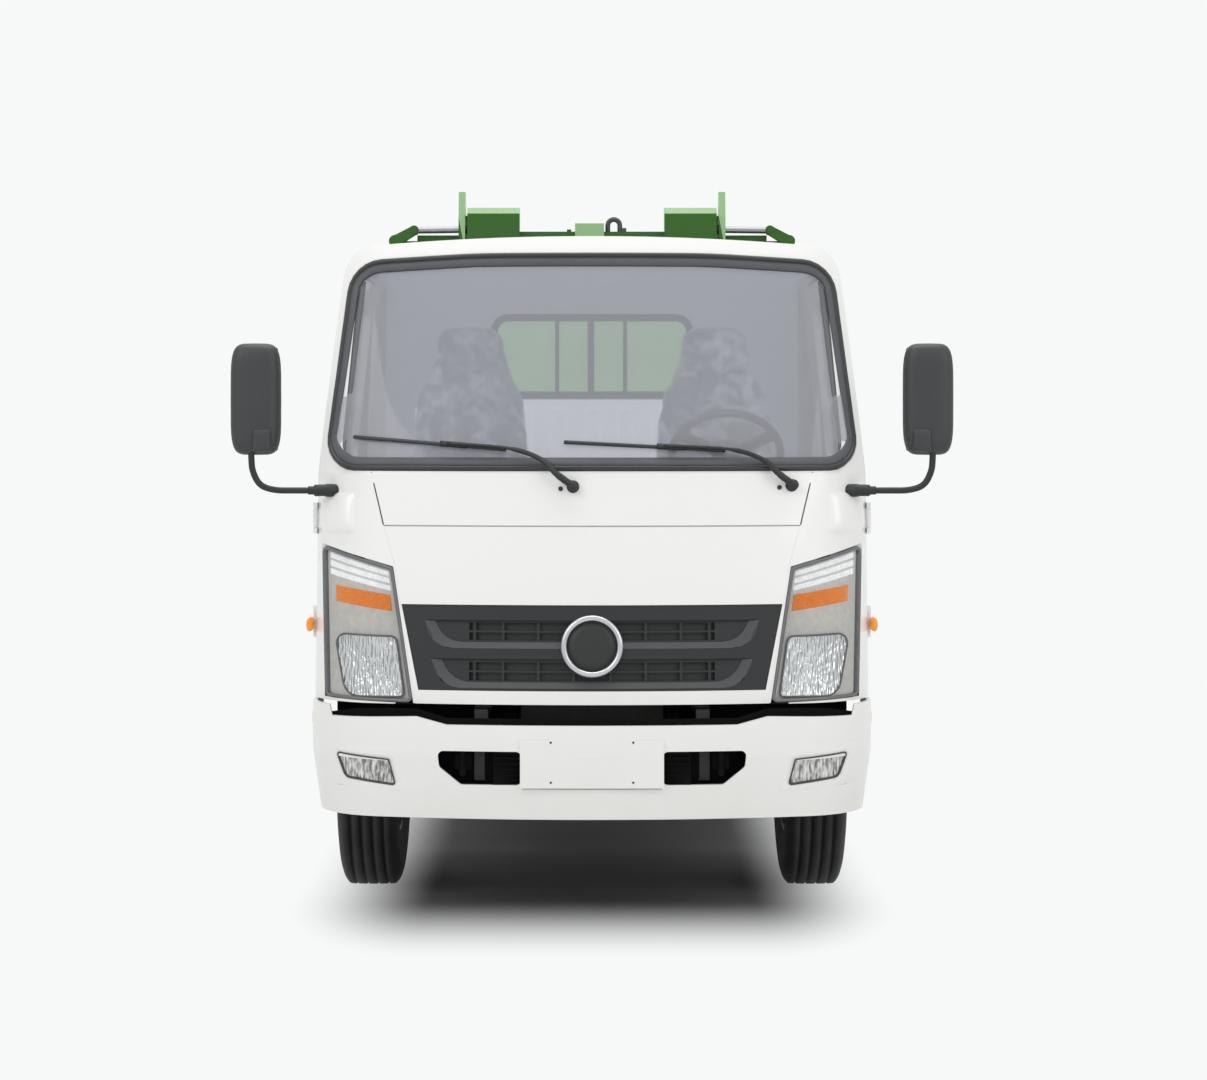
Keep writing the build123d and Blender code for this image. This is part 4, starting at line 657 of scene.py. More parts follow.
def tube(name, path, radius, finish, body, sides=14):
    """A round tube along a smooth path through the given points."""
    spots = [Vector(p) for p in path]
    fine = []
    for i in range(len(spots) - 1):
        p0, p1 = spots[max(0, i - 1)], spots[i]
        p2, p3 = spots[i + 1], spots[min(len(spots) - 1, i + 2)]
        for t in (k / 6 for k in range(6)):
            fine.append(0.5 * ((2 * p1) + (p2 - p0) * t + (2 * p0 - 5 * p1 + 4 * p2 - p3) * t * t
                               + (3 * p1 - p0 - 3 * p2 + p3) * t ** 3))
    fine.append(spots[-1])
    points, side = [], None
    for i, spot in enumerate(fine):
        along = (fine[min(i + 1, len(fine) - 1)] - fine[max(i - 1, 0)]).normalized()
        if side is None:
            side = along.orthogonal().normalized()
        side = (side - along * side.dot(along)).normalized()
        other = along.cross(side)
        r = radius[min(len(radius) - 1, i // 6)] if isinstance(radius, tuple) else radius
        points += [spot + (side * math.cos(2 * math.pi * k / sides)
                           + other * math.sin(2 * math.pi * k / sides)) * r for k in range(sides)]
    faces = net(len(fine), sides, closed=True)
    faces += [tuple(range(sides)), tuple(range((len(fine) - 1) * sides, len(fine) * sides))]
    return new_piece(name, points, faces, finish, body)


def pillow(name, centre, half, power, finish, body):
    """A rounded-rectangle shell, crowned at its front; half is x, z and depth."""
    points, steps = [], 40
    rings = ((1.0, 1.0), (1.0, 0.35), (0.985, 0.05), (0.93, -0.45), (0.80, -0.8), (0.55, -0.95),
             (0.25, -1.0))
    for scale, depth in rings:
        inset = min(half[0], half[1]) * (1 - scale)
        for k in range(steps):
            u, v = (math.copysign(abs(w) ** (2 / power), w)
                    for w in (math.cos(2 * math.pi * k / steps), math.sin(2 * math.pi * k / steps)))
            points.append(Vector(centre) + Vector(((half[0] - inset) * u, half[2] * depth,
                                                   (half[1] - inset) * v)))
    faces = net(len(rings), steps, closed=True)
    faces += [tuple(range((len(rings) - 1) * steps, len(rings) * steps)), tuple(range(steps))]
    return new_piece(name, points, faces, finish, body)


mirror_black = moulded("grained black mirror shell", "333436", 0.5, grain_mm=1.8, depth=0.0003)
mirror_glass, tree, shader = start_finish("silvered mirror glass", {
    "Base Color": linear("DDE2E6"), "Metallic": 1.0, "Roughness": 0.03})
ripple = add_node(tree, "TexNoise", {"Scale": 3.0})    # three slow ripples over the glass
relief = add_node(tree, "Bump", {"Strength": 0.02, "Distance": 0.001, "Height": ripple})
feed(shader, {"Normal": relief})
dress(black_plastic, 0.003, "mirrors")
for side, hand in ((1, "left"), (-1, "right")):
    head = pillow(f"mirror_head_{hand}", (side * MIRROR_X, MIRROR_Y, MIRROR_Z), MIRROR_HALF, 5.0,
                  mirror_black, "cab")
    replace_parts(head, "mirrors")
    pillow(f"mirror_clamp_{hand}", (side * 1.001, MIRROR_Y - 0.024, 1.481), (0.030, 0.036, 0.014),
           8.0, mirror_black, "cab")
    glass = [(side * MIRROR_X + u * GLASS_HALF[0], MIRROR_Y + 0.0305, MIRROR_Z + v * GLASS_HALF[1])
             for u, v in ((-1, -0.96), (-0.94, -1), (0.94, -1), (1, -0.96), (1, 0.96), (0.94, 1),
                          (-0.94, 1), (-1, 0.96))]
    new_piece(f"mirror_glass_{hand}", glass, [tuple(range(8))], mirror_glass, "cab", smooth=False)
    tube(f"mirror_arm_{hand}", [(side * x, MIRROR_Y + y, z) for x, y, z in ARM_PATH], 0.0098,
         black_plastic, "cab")
    tube(f"mirror_foot_{hand}", [(side * x, MIRROR_Y + y, z) for x, y, z in FOOT_PATH],
         (0.013, 0.018, 0.020), black_plastic, "cab")

# ---- wipers ----
# Pressed black arms on splined shafts, each pulling a spring blade flat on the glass. A
# washer jet stands beside each shaft.
WIPERS = (   # shaft, far end and near end of the blade, as (x, z)
    ((-0.057, 1.342), (-0.722, 1.487), (-0.258, 1.449)),
    ((0.602, 1.345), (-0.084, 1.471), (0.400, 1.446)),
)
dress(black_plastic, 0.003, "wipers")
for number, ends in enumerate(WIPERS):
    at, far, near = (Vector(end) for end in ends)
    clip = far.lerp(near, 0.62)
    elbow = at.lerp(near, 0.52) + Vector((0.012, 0.012))
    arm = [(at, 0.022), (at.lerp(elbow, 0.5), 0.030), (elbow, 0.034),
           (near.lerp(elbow, 0.1), 0.030), (clip, 0.022)]    # places and heights off the glass
    tip = tube(f"wiper_arm_{number}", [on_front(p.x, p.y, h)[0] for p, h in arm],
               (0.0105, 0.0095, 0.0075, 0.005), black_plastic, "cab", sides=10)
    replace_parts(tip, "wipers")
    swept(f"wiper_blade_{number}",
          [on_front(p.x, p.y) for p in (far.lerp(near, k / 16) for k in range(17))],
          [(-0.001, 0.0005), (-0.005, 0.008), (-0.0055, 0.013), (0.0, 0.0165), (0.0055, 0.013),
           (0.005, 0.008), (0.001, 0.0005)], seal_rubber, "cab", closed=False)
    held = [clip.lerp(near, k / 6 * 0.45 - 0.12) for k in range(7)]
    swept(f"wiper_clip_{number}", [on_front(p.x, p.y, 0.016) for p in held],
          [(-0.008, -0.004), (-0.007, 0.006), (0.007, 0.006), (0.008, -0.004)],
          black_plastic, "cab", closed=False)
    turned_piece(f"wiper_shaft_{number}", *on_front(at.x, at.y), [
        (0.019, -0.002), (0.019, 0.006), (0.015, 0.010), (0.015, 0.028), (0.010, 0.032),
        (0.0005, 0.033)], black_plastic, "cab", steps=24)
    turned_piece(f"washer_jet_{number}", *on_front(at.x - 0.037, at.y - 0.006), [
        (0.007, -0.001), (0.007, 0.004), (0.004, 0.008), (0.0005, 0.008)], black_plastic, "cab",
        steps=16)

# ---- bumper mouths ----
# One-piece white moulded bumper, softer in gloss than the steel panels. Black ribbed inserts
# close its two air mouths, with a deeper pocket outboard where the forged towing hook hangs.
KNEE_Z, LEAN = 0.545, 0.1405           # below its knee the bumper's face leans in by this slope
MOUTH = ((0.205, 0.567), (0.462, 0.567), (0.457, 0.514), (0.390, 0.459), (0.205, 0.459))
POCKET_X, RIB_DEPTH, POCKET_DEPTH = 0.292, 0.0125, 0.058
HOOK_X, HOOK_PATH = 0.382, ((0.050, 0.562), (0.050, 0.545), (0.050, 0.525), (0.044, 0.506),
                            (0.030, 0.497), (0.020, 0.503))    # s and z
AHEAD = Vector((0, -1, 0))
bumper_white = enamel("white moulded bumper", "EDEDEB", ROAD_DUST_HEX, 0.75, roughness=0.4)
dress(bumper_white, 0.004, "bumper")


def on_bumper(x, z, lift=0.0):
    """A point of the bumper's face, also where its mouths leave it open."""
    across = math.sqrt(NOSE_RADIUS ** 2 - min(abs(x), NOSE_HALF) ** 2)
    lean = LEAN if z < KNEE_Z else 0.0
    normal = Vector((x / across, -1, -lean)).normalized()
    s = NOSE_RADIUS - across + lean * (KNEE_Z - z)
    return Vector((x, FRONT_Y + s, z)) + normal * lift, normal


insert_black = moulded("black mouth insert", "070707", 0.9)
feed(insert_black.node_tree.nodes["Principled BSDF"], {"Specular IOR Level": 0.15})
for side, hand in ((1, "left"), (-1, "right")):
    rim = [on_bumper(side * x, z, -0.004)[0] for x, z in MOUTH]
    back = [p + Vector((0, RIB_DEPTH if abs(p.x) < 0.3 else POCKET_DEPTH, 0)) for p in rim]
    step = [(side * POCKET_X, FRONT_Y + s, z) for s, z in ((0.0305, 0.567), (0.0305, 0.459),
                                                           (0.076, 0.459), (0.076, 0.567))]
    # back: 5 near top, 6 far top, 7, 8, 9 near foot; step: 10 near top, 11 near foot, 12, 13
    faces = [(1, 2, 7, 6), (2, 3, 8, 7), (0, 5, 10, 13, 6, 1), (4, 3, 8, 12, 11, 9),
             (5, 9, 11, 10), (10, 11, 12, 13), (13, 12, 8, 7, 6), (0, 4, 9, 5)]
    new_piece(f"mouth_insert_{hand}", rim + back + step, faces, insert_black, "chassis_body",
              smooth=False)
    for row in range(6):
        spots = [(on_bumper(side * x, 0.474 + row * 0.0165, -0.013)[0], AHEAD)
                 for x in (0.212, 0.24, 0.265, 0.290)]
        swept(f"mouth_rib_{row}_{hand}", spots, [(-0.0025, -0.002), (-0.0018, 0.007),
                                                 (0.0018, 0.007), (0.0025, -0.002)],
              insert_black, "chassis_body", closed=False)
    tube(f"towing_hook_{hand}", [(side * HOOK_X, FRONT_Y + s, z) for s, z in HOOK_PATH], 0.0085,
         insert_black, "chassis_body", sides=12)
    pillow(f"hook_plate_{hand}", (side * HOOK_X, FRONT_Y + 0.066, 0.530), (0.026, 0.030, 0.008),
           5.0, insert_black, "chassis_body")

# ---- number plate seat ----
# The bumper's flat middle has a pressed edge round the bare plate seat, drawn as the shadow
# that it throws.
seam_grey = moulded("shadowed joint", "7B7B78", 0.6)
for name, line in (("right", [(-0.2078, 0.460), (-0.2078, 0.455), (-0.205, 0.4525)]),
                   ("low", [(-0.205 + 0.41 * k / 16, 0.4525) for k in range(17)]),
                   ("left", [(0.205, 0.4525), (0.2078, 0.455), (0.2078, 0.460)])):
    thin_line(f"plate_seam_{name}", [on_bumper(x, z) for x, z in line], 0.0012, 0.0004, -0.001,
              seam_grey, "chassis_body")

# ---- fog lamps ----
# Pressed glass lenses with upright flutes over a plated dish, in a thin dark rubber ring.
# Each lamp is sunk in the bumper's corner under a shallow ledge.
FOG_CORNERS = ((0.583, 0.4555), (0.738, 0.474), (0.767, 0.549), (0.603, 0.5345))
FOG_TURNS = (0.008, 0.024, 0.008, 0.008)
SURROUND = [Vector(p) for p in ((0.545, 0.432), (0.792, 0.452), (0.800, 0.575), (0.548, 0.575))]
SURROUND_RINGS = ((0.0, -0.006), (0.0, 0.0006), (0.35, 0.0004), (0.8, 0.0010), (1.0, -0.0004))
CORNER_TOP, CORNER_FOOT = 0.600, 0.428    # heights where the bumper's corner is closed
FLUTE_MM = 8.976                          # coarser than real flutes, so that they show
BLOT_MM = (8.333, 27.78, 29.76)           # size of a light or dark blot in the dish
bumper_skin = surface_of("bumper", "fog_lamps")
fog_glass, tree, shader = start_finish("fluted fog lamp glass", {
    "Roughness": 0.12, "Metallic": 0.35, "Coat Weight": 1.0})
place = add_node(tree, "TexCoord", out="Object")
across = add_node(tree, "SeparateXYZ", {0: place}, "X")
flute = add_node(tree, "Math", {0: across, 1: 2000 * math.pi / FLUTE_MM}, operation="MULTIPLY")
flute = add_node(tree, "Math", {0: flute}, operation="SINE")
drawn = add_node(tree, "VectorMath", {0: place, 1: [BLOT_MM[0] / size for size in BLOT_MM]},
                 operation="MULTIPLY")
# Painted reflection: light and dark blots stand for what the plated dish reflects.
painted_reflection_blots = add_node(tree, "TexNoise", {"Vector": drawn, "Scale": 1000 / BLOT_MM[0], "Detail": 2.0})
tone = add_node(tree, "MapRange", {"Value": painted_reflection_blots, "From Min": 0.35, "From Max": 0.62})
colour = add_node(tree, "Mix", {0: tone, 6: linear("6F6F6B"), 7: linear("E9E9E6")}, 2,
                  data_type="RGBA")
relief = add_node(tree, "Bump", {"Strength": 0.9, "Distance": 0.0016, "Height": flute})
feed(shader, {"Base Color": colour, "Normal": relief})
ring_rubber = moulded("dark lamp ring", "3C3C3D", 0.5)
lens = start_finish("clear polycarbonate lens", {"Base Color": linear("D9DADB"),
                                                 "Roughness": 0.15})[0]
dress(lens, 0.002, "headlamps", "fog_lamps")


def filled_depth(x, z):
    """How deep the bumper's corner lies at x and z, as if the lamp's opening were filled."""
    top, foot = (touch(bumper_skin, (x, FAR_AHEAD, height), (0, 1, 0))[0].y
                 for height in (CORNER_TOP, CORNER_FOOT))
    return top + (foot - top) * max(0.0, (KNEE_Z - z) / (KNEE_Z - CORNER_FOOT))


def fog_face(x, z, lift):
    """A point of the filled corner, which leans in below its knee, and its normal."""
    step = 0.004
    normal = Vector(((filled_depth(x + step, z) - filled_depth(x - step, z)) / (2 * step), -1,
                     (filled_depth(x, z + step) - filled_depth(x, z - step)) / (2 * step)))
    normal.normalize()
    return Vector((x, filled_depth(x, z), z)) + normal * lift, normal


def carried_out(p, middle, edges):
    """The point where a line from the middle through p meets the edges of an outline."""
    away, reach = p - middle, 9.0
    for k, start in enumerate(edges):
        edge = edges[(k + 1) % len(edges)] - start
        slant = away.cross(edge)
        if abs(slant) > 1e-9 and (start - middle).cross(edge) / slant > 0:
            reach = min(reach, (start - middle).cross(edge) / slant)
    return middle + away * reach


rim = rounded_outline(FOG_CORNERS, FOG_TURNS, 0.01)
middle = sum(rim, Vector((0, 0))) / len(rim)
for side, hand in ((1, "left"), (-1, "right")):
    points = []
    for share, lift in SURROUND_RINGS:
        for p in rim:
            q = p.lerp(carried_out(p, middle, SURROUND), share)
            points.append(fog_face(side * q.x, q.y, lift)[0])
    new_piece(f"fog_surround_{hand}", points, net(5, len(rim), closed=True), bumper_white,
              "chassis_body")
    glass = dish(FOG_CORNERS, FOG_TURNS, -0.003, -0.002, side, skin=fog_face)
    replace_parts(new_piece(f"fog_glass_{hand}", *glass, fog_glass, "chassis_body"), "fog_lamps")
    rim_strip(f"fog_ring_{hand}", FOG_CORNERS, FOG_TURNS, side,
              [(-0.001, -0.004), (-0.001, 0.0015), (0.003, 0.002), (0.005, -0.003)], ring_rubber,
              "chassis_body", skin=fog_face, spacing=0.01)

# ---- under the nose ----
# The tilt arms, the cab floor's underside and the crossmember behind the open joint over the bumper
# are matt black, partly as stone guard and partly as painted shade. Black sheets behind the bumper
# and in the arches are painted shade under the nose.
SHADE_APRON = ((0.0, 0.013, 0.659), (0.22, 0.021, 0.659), (0.43, 0.048, 0.659), (0.52, 0.076, 0.684),
         (0.60, 0.092, 0.684), (0.70, 0.130, 0.680), (0.786, 0.190, 0.664))    # x, s, z
SHADE_APRON_DROP = 0.04
nose_shade_black = worked_steel("black stone guard and painted shade", "070707", "12110F", 0.9)
feed(nose_shade_black.node_tree.nodes["Principled BSDF"], {"Specular IOR Level": 0.2})


def add_finish(piece, finish):
    """Gives a CAD node one more finish and returns the number of its slot."""
    piece.data.materials.append(finish)
    piece.material_slots[-1].link = "OBJECT"
    piece.material_slots[-1].material = finish
    return len(piece.material_slots) - 1


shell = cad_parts["cab_shell"]
shade_slot = add_finish(shell, nose_shade_black)
# Painted shade: these faces of the cab turn black so that the joint over the bumper reads dark.
for face in shell.data.polygons:
    x, s, z = abs(face.center.x), face.center.y - FRONT_Y, face.center.z
    top = max(shell.data.vertices[i].co.z for i in face.vertices)
    arm = 0.22 < x < 0.27 and s < 0.33 and z < 0.75
    nose_floor = top < 0.742 and x < 0.60
    floor_behind = top < 0.80 and x < 0.78 and s > 0.2
    if arm or nose_floor or floor_behind:
        face.material_index = shade_slot
# The apron is a black sheet that stands for the shade over the bumper.
shade_apron = [(-x, s, z) for x, s, z in reversed(SHADE_APRON[1:])] + list(SHADE_APRON)
points = [(x, FRONT_Y + s, z - drop) for drop in (0.0, SHADE_APRON_DROP) for x, s, z in shade_apron]
new_piece("bumper_shade_apron", points, net(2, len(shade_apron)), insert_black, "chassis_body", smooth=False)


def upright_sheet(name, side, s, near, far, foot, top, body):
    """A black sheet across the truck, near and far from its middle, as painted shade behind the
    bumper.
    """
    new_piece(name, [(side * x, FRONT_Y + s, z) for x, z in ((near, foot), (far, foot),
                                                            (far, top), (near, top))],
              [(0, 1, 2, 3)], insert_black, body, smooth=False)


for side, hand in ((1, "left"), (-1, "right")):
    upright_sheet(f"arch_shade_apron_{hand}", side, 0.405, 0.357, 0.79, 0.50, 0.70, "cab")
    upright_sheet(f"shade_baffle_{hand}", side, 0.345, 0.195, 0.289, 0.49, 0.70, "chassis_body")

# ---- side markers ----
# Amber repeaters on the cab's flanks and reflectors on the bumper's ends, moulded acrylic.
BLOCK_FACES = [(0, 1, 3, 2), (4, 6, 7, 5), (0, 4, 5, 1), (2, 3, 7, 6), (0, 2, 6, 4), (1, 5, 7, 3)]


def block(name, xs, ys, zs, finish, body, bevel=0.0):
    """A square block between two places on each axis."""
    return new_piece(name, [(x, y, z) for x in xs for y in ys for z in zs], BLOCK_FACES, finish,
                     body, smooth=False, bevel=bevel)


for side, hand in ((1, "left"), (-1, "right")):
    pillow(f"side_repeater_{hand}", (side * 0.870, FRONT_Y + 0.36, 0.913), (0.011, 0.022, 0.030),
           2.2, prism_amber, "cab")
    block(f"bumper_reflector_{hand}", (side * 0.8515, side * 0.8565),
          (FRONT_Y + 0.31, FRONT_Y + 0.375), (0.612, 0.652), prism_amber, "chassis_body", 0.002)

# ---- tyres and wheel nuts ----
# Radial truck tyres with five straight ribs on pressed steel rims in silver enamel. The
# sidewalls carry two raised rings, and the shoulders are scuffed by road dust.
TYRE_HALF = 0.098
GROOVES = (0.052, 0.0175, -0.0175, -0.052)
GROOVE_EDGES = ((0.0052, 0.3847), (0.0042, 0.3735), (-0.0042, 0.3735), (-0.0052, 0.3847))
TREAD_CROWN = 0.25
SIDEWALL = ((0.2045, 0.0785), (0.222, 0.0895), (0.240, 0.0925), (0.244, 0.0945), (0.250, 0.0932),
            (0.285, 0.0972), (0.318, 0.0975), (0.322, 0.0978), (0.328, 0.0965), (0.345, 0.0945),
            (0.362, 0.0890), (0.372, 0.0835), (0.379, 0.0775), (0.3825, 0.0735))
NUT = ((0.0165, 0.0), (0.0165, 0.018), (0.0125, 0.022), (0.008, 0.022), (0.008, 0.032),
       (0.006, 0.034))    # radius and height of a nut and its stud, turned in six sides
NUT_CIRCLE = 0.1025
SCUFF_MM, SKIN_MM = 71.43, 2.857    # widths of a scuff and of the rubber's grain
tread = [(radius - TREAD_CROWN * groove ** 2, groove + along) for groove in GROOVES
         for along, radius in GROOVE_EDGES]
tyre_profile = list(SIDEWALL) + tread + [(radius, -half) for radius, half in reversed(SIDEWALL)]

dusty_rubber, tree, shader = start_finish("dusty tyre rubber", {"Roughness": 0.72})
place = add_node(tree, "TexCoord", out="Object")
dust = add_node(tree, "TexNoise", {"Vector": place, "Scale": 1000 / SCUFF_MM, "Detail": 6.0})
share = add_node(tree, "MapRange", {"Value": dust, "From Min": 0.45, "From Max": 0.8})
colour = add_node(tree, "Mix", {0: share, 6: linear("141414"), 7: linear("2A2826")}, 2,
                  data_type="RGBA")
skin = add_node(tree, "TexNoise", {"Vector": place, "Scale": 1000 / SKIN_MM})
relief = add_node(tree, "Bump", {"Strength": 0.25, "Distance": 0.0006, "Height": skin})
feed(shader, {"Base Color": colour, "Normal": relief})
rim_silver = worked_steel("silver rim enamel", "B4B6B8", "7C7872", 0.35, 0.2)
bare_steel = worked_steel("aluminised exhaust steel", "9A9893", "6B5F52", 0.4, 0.9)
dress(dusty_rubber, 0, "tyre_front_left", "tyre_front_right", "tyres_rear_left",
      "tyres_rear_right")
dress(rim_silver, 0.002, "rim_front_left", "rim_front_right", "rims_rear_left",
      "rims_rear_right")


def wheel_nuts(name, hub, out, side, body):
    """Six nuts and studs round a hub, from the place out along the axle."""
    points, faces = [], []
    for turn in range(6):
        around = math.radians(60 * turn)
        spot = Vector((out, hub.y + NUT_CIRCLE * math.cos(around),
                       hub.z + NUT_CIRCLE * math.sin(around)))
        faces += net(len(NUT), 6, closed=True, first=len(points))
        points += [spot + Vector((side * height, radius * math.cos(k * math.pi / 3),
                                  radius * math.sin(k * math.pi / 3)))
                   for radius, height in NUT for k in range(6)]
        faces.append(tuple(range(len(points) - 6, len(points))))
    new_piece(name, points, faces, bare_steel, body, smooth=False)


for side, hand in ((1, "left"), (-1, "right")):
    for axle, node, body, seat in (
            ("front", f"tyre_front_{hand}", f"front_{hand}_wheel", 0.755),
            ("rear", f"tyres_rear_{hand}", f"rear_{hand}_wheels", 0.716)):
        low, high = (Vector(corner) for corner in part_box(node))
        hub = (low + high) / 2
        places = {f"front_{hand}": hub.x} if axle == "front" else {
            f"rear_{hand}_0": low.x + TYRE_HALF, f"rear_{hand}_1": high.x - TYRE_HALF}
        for number, (name, x) in enumerate(places.items()):
            tyre = turned_piece(f"ribbed_tyre_{name}", (x, hub.y, hub.z), (1, 0, 0), tyre_profile,
                                dusty_rubber, body, steps=128)
            if number == 0:
                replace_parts(tyre, node)
        wheel_nuts(f"wheel_nuts_{axle}_{hand}", hub, side * seat, side, body)

# ---- cab lining ----
# Light grey pressed board lines the rear wall, ribbed below the window. The roof has a
# stitched felt lining. Their slight glow stands for daylight from all the windows.
REAR_GLASS = [(-0.348, 1.640), (0.348, 1.640), (0.348, 1.914), (-0.348, 1.914)]
GLASS_MIDDLE = Vector((0, 1.777))
WALL_Y = FRONT_Y + 1.5935
WALL_HALF, WALL_UP, WALL_DOWN = 0.735, 0.270, 0.700    # reach of the board from that middle
LOWER_BOARD = ((-0.34, 1.05), (0.34, 1.05), (0.34, 1.622), (-0.34, 1.622))
BARS = ((-0.1245, 0.007), (-0.004, 0.0115), (0.118, 0.007))    # place and half width


def lining(name, colour_hex, glow, roughness=0.8):
    """Pressed trim with a painted glow that stands for the daylight inside the cab."""
    finish = moulded(name, colour_hex, roughness, grain_mm=3.0, depth=0.0004)
    feed(finish.node_tree.nodes["Principled BSDF"], {"Emission Color": linear(colour_hex),
                                                     "Emission Strength": glow})
    return finish


wall_board = lining("light grey wall board", "DDDFE2", 0.85)
roof_felt = lining("grey roof felt", "B4B6BD", 0.42)
frame_dark = lining("dark window rubber", "5C5F66", 0.25)
dress(moulded("grey dashboard foam skin", "77777A", 0.7), 0.006, "dashboard")
# The steering wheel's rim carries the lining's painted glow.
dress(lining("grey steering wheel rim", "5C5E64", 0.35, 0.6), 0, "steering_wheel")
hole = rounded_outline(REAR_GLASS, 0.05)
around = []
for p in hole:    # the same ray from the window's middle, carried out to the wall's edge
    away = p - GLASS_MIDDLE
    reach = min(WALL_HALF / max(1e-6, abs(away.x)),
                (WALL_UP if away.y > 0 else WALL_DOWN) / max(1e-6, abs(away.y)))
    around.append(GLASS_MIDDLE + away * reach)
new_piece("rear_wall_board", [(p.x, WALL_Y, p.y) for p in hole + around],
          net(2, len(hole), closed=True), roof_felt, "cab", smooth=False)
new_piece("rear_wall_lower_board", [(x, WALL_Y - 0.003, z) for x, z in LOWER_BOARD],
          [(0, 1, 2, 3)], wall_board, "cab", smooth=False)
pane = [(x * 0.978, z + (0.016 if z < 1.5 else -0.016)) for x, z in SEAL_CORNERS]
pane = new_piece("windscreen_pane", *dish(pane, SEAL_TURNS, 0.003, 0.0, 1, rings=30),
                 screen_glass, "cab")
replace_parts(pane, "windscreen")
pillar_grey = moulded("grey pillar edge", "606266", 0.6)
for side, hand in ((1, "left"), (-1, "right")):
    spots = [on_front(side * (0.764 - 0.0455 * k / 14), 1.425 + 0.55 * k / 14, 0.0045)
             for k in range(15)]
    swept(f"pillar_edge_{hand}", spots[::side],
          [(-0.020, -0.001), (-0.020, 0.0006), (0.012, 0.0006), (0.012, -0.001)], pillar_grey,
          "cab", closed=False)
swept("rear_window_rubber", [(Vector((p.x, WALL_Y, p.y)), AHEAD) for p in hole],
      [(-0.014, 0.0), (-0.012, 0.009), (0.008, 0.010), (0.012, 0.0)], frame_dark, "cab")
for number, (x, half) in enumerate(BARS):
    block(f"rear_window_bar_{number}", (x - half, x + half), (WALL_Y - 0.008, WALL_Y + 0.010),
          (1.642, 1.912), frame_dark, "cab")
for number in range(11):
    x = -0.60 + number * 0.12
    swept(f"wall_rib_{number}",
          [(Vector((x, WALL_Y, z)), AHEAD) for z in (1.10, 1.30, 1.50, 1.590)],
          [(-0.030, 0.0), (-0.020, 0.008), (0.020, 0.008), (0.030, 0.0)], wall_board, "cab",
          closed=False)
points = [(x, FRONT_Y + s, 2.046 - 0.03 * (x / 0.7) ** 2 - drop)
          for s, drop in ((0.56, 0.008), (0.9, 0.0), (1.3, 0.0), (1.585, 0.03))
          for x in (-0.70, -0.35, 0.0, 0.35, 0.70)]
new_piece("roof_lining", points, net(4, 5), roof_felt, "cab")

# Seen from inside the cab, the rear glass carries a painted green glow that stands for the refuse
# body's light; from behind it is plain dark glass.
finish, tree, shader = start_finish("rear glass with painted green glow", {"Roughness": 0.05})
cloud = add_node(tree, "TexNoise", {"Scale": 3.0, "Detail": 1.0})    # three slow clouds
colour = add_node(tree, "Mix", {0: cloud, 6: linear("A0C596"), 7: linear("B2D2A8")}, 2,
                  data_type="RGBA")
normal = add_node(tree, "TexCoord", out="Normal")
facing = add_node(tree, "SeparateXYZ", {0: normal}, "Y")
inner = add_node(tree, "Math", {0: facing, 1: -0.5}, operation="LESS_THAN")
both = add_node(tree, "Mix", {0: inner, 6: linear("39423D"), 7: colour}, 2, data_type="RGBA")
daylight = add_node(tree, "Math", {0: inner, 1: 0.62}, operation="MULTIPLY")
feed(shader, {"Base Color": both, "Emission Color": colour, "Emission Strength": daylight})
dress(finish, 0, "rear_window")

# ---- seats ----
# Moulded foam in grey woven cloth, sewn round its edges and swollen by its own pressure, so
# the sides pull in between the corners. A cloth run shapes it. Headrests stand on steel posts.
SEAT_X = 0.420
FOAM_CELL = 0.009      # edge of the remeshed foam's squares, metres
SWELLING_STEPS = 20    # frames of the cloth run
CUSHION = [(0.748, 1.033), (0.734, 1.135), (0.764, 1.166), (1.140, 1.134), (1.150, 1.033)]
BACKREST = [(1.160, 1.040), (1.174, 1.185), (1.234, 1.600), (1.254, 1.625), (1.310, 1.625),
            (1.330, 1.600), (1.284, 1.040)]
HEADREST = [(1.262, 1.694), (1.266, 1.848), (1.322, 1.848), (1.328, 1.694)]
SEAT_PARTS = (   # name, side profile as (s, z), half width, most that it may swell, fill
    ("cushion", CUSHION, 0.222, 0.012, 0.75),
    ("backrest", BACKREST, 0.176, 0.012, 0.75),
    ("headrest", HEADREST, 0.098, 0.007, 0.85),
)
# The seat cloth carries the lining's painted glow for daylight.
seat_cloth = lining("grey woven seat cloth", "50535B", 0.25, 0.95)
seat_grey = moulded("grey seat cloth", "5A5C60", 0.9, grain_mm=2.0, depth=0.0006)
dress(seat_grey, 0.02, "seats")
chromed = start_finish("hard chromed rod", {"Base Color": linear("96989A"), "Metallic": 1.0,
                                            "Roughness": 0.3})[0]


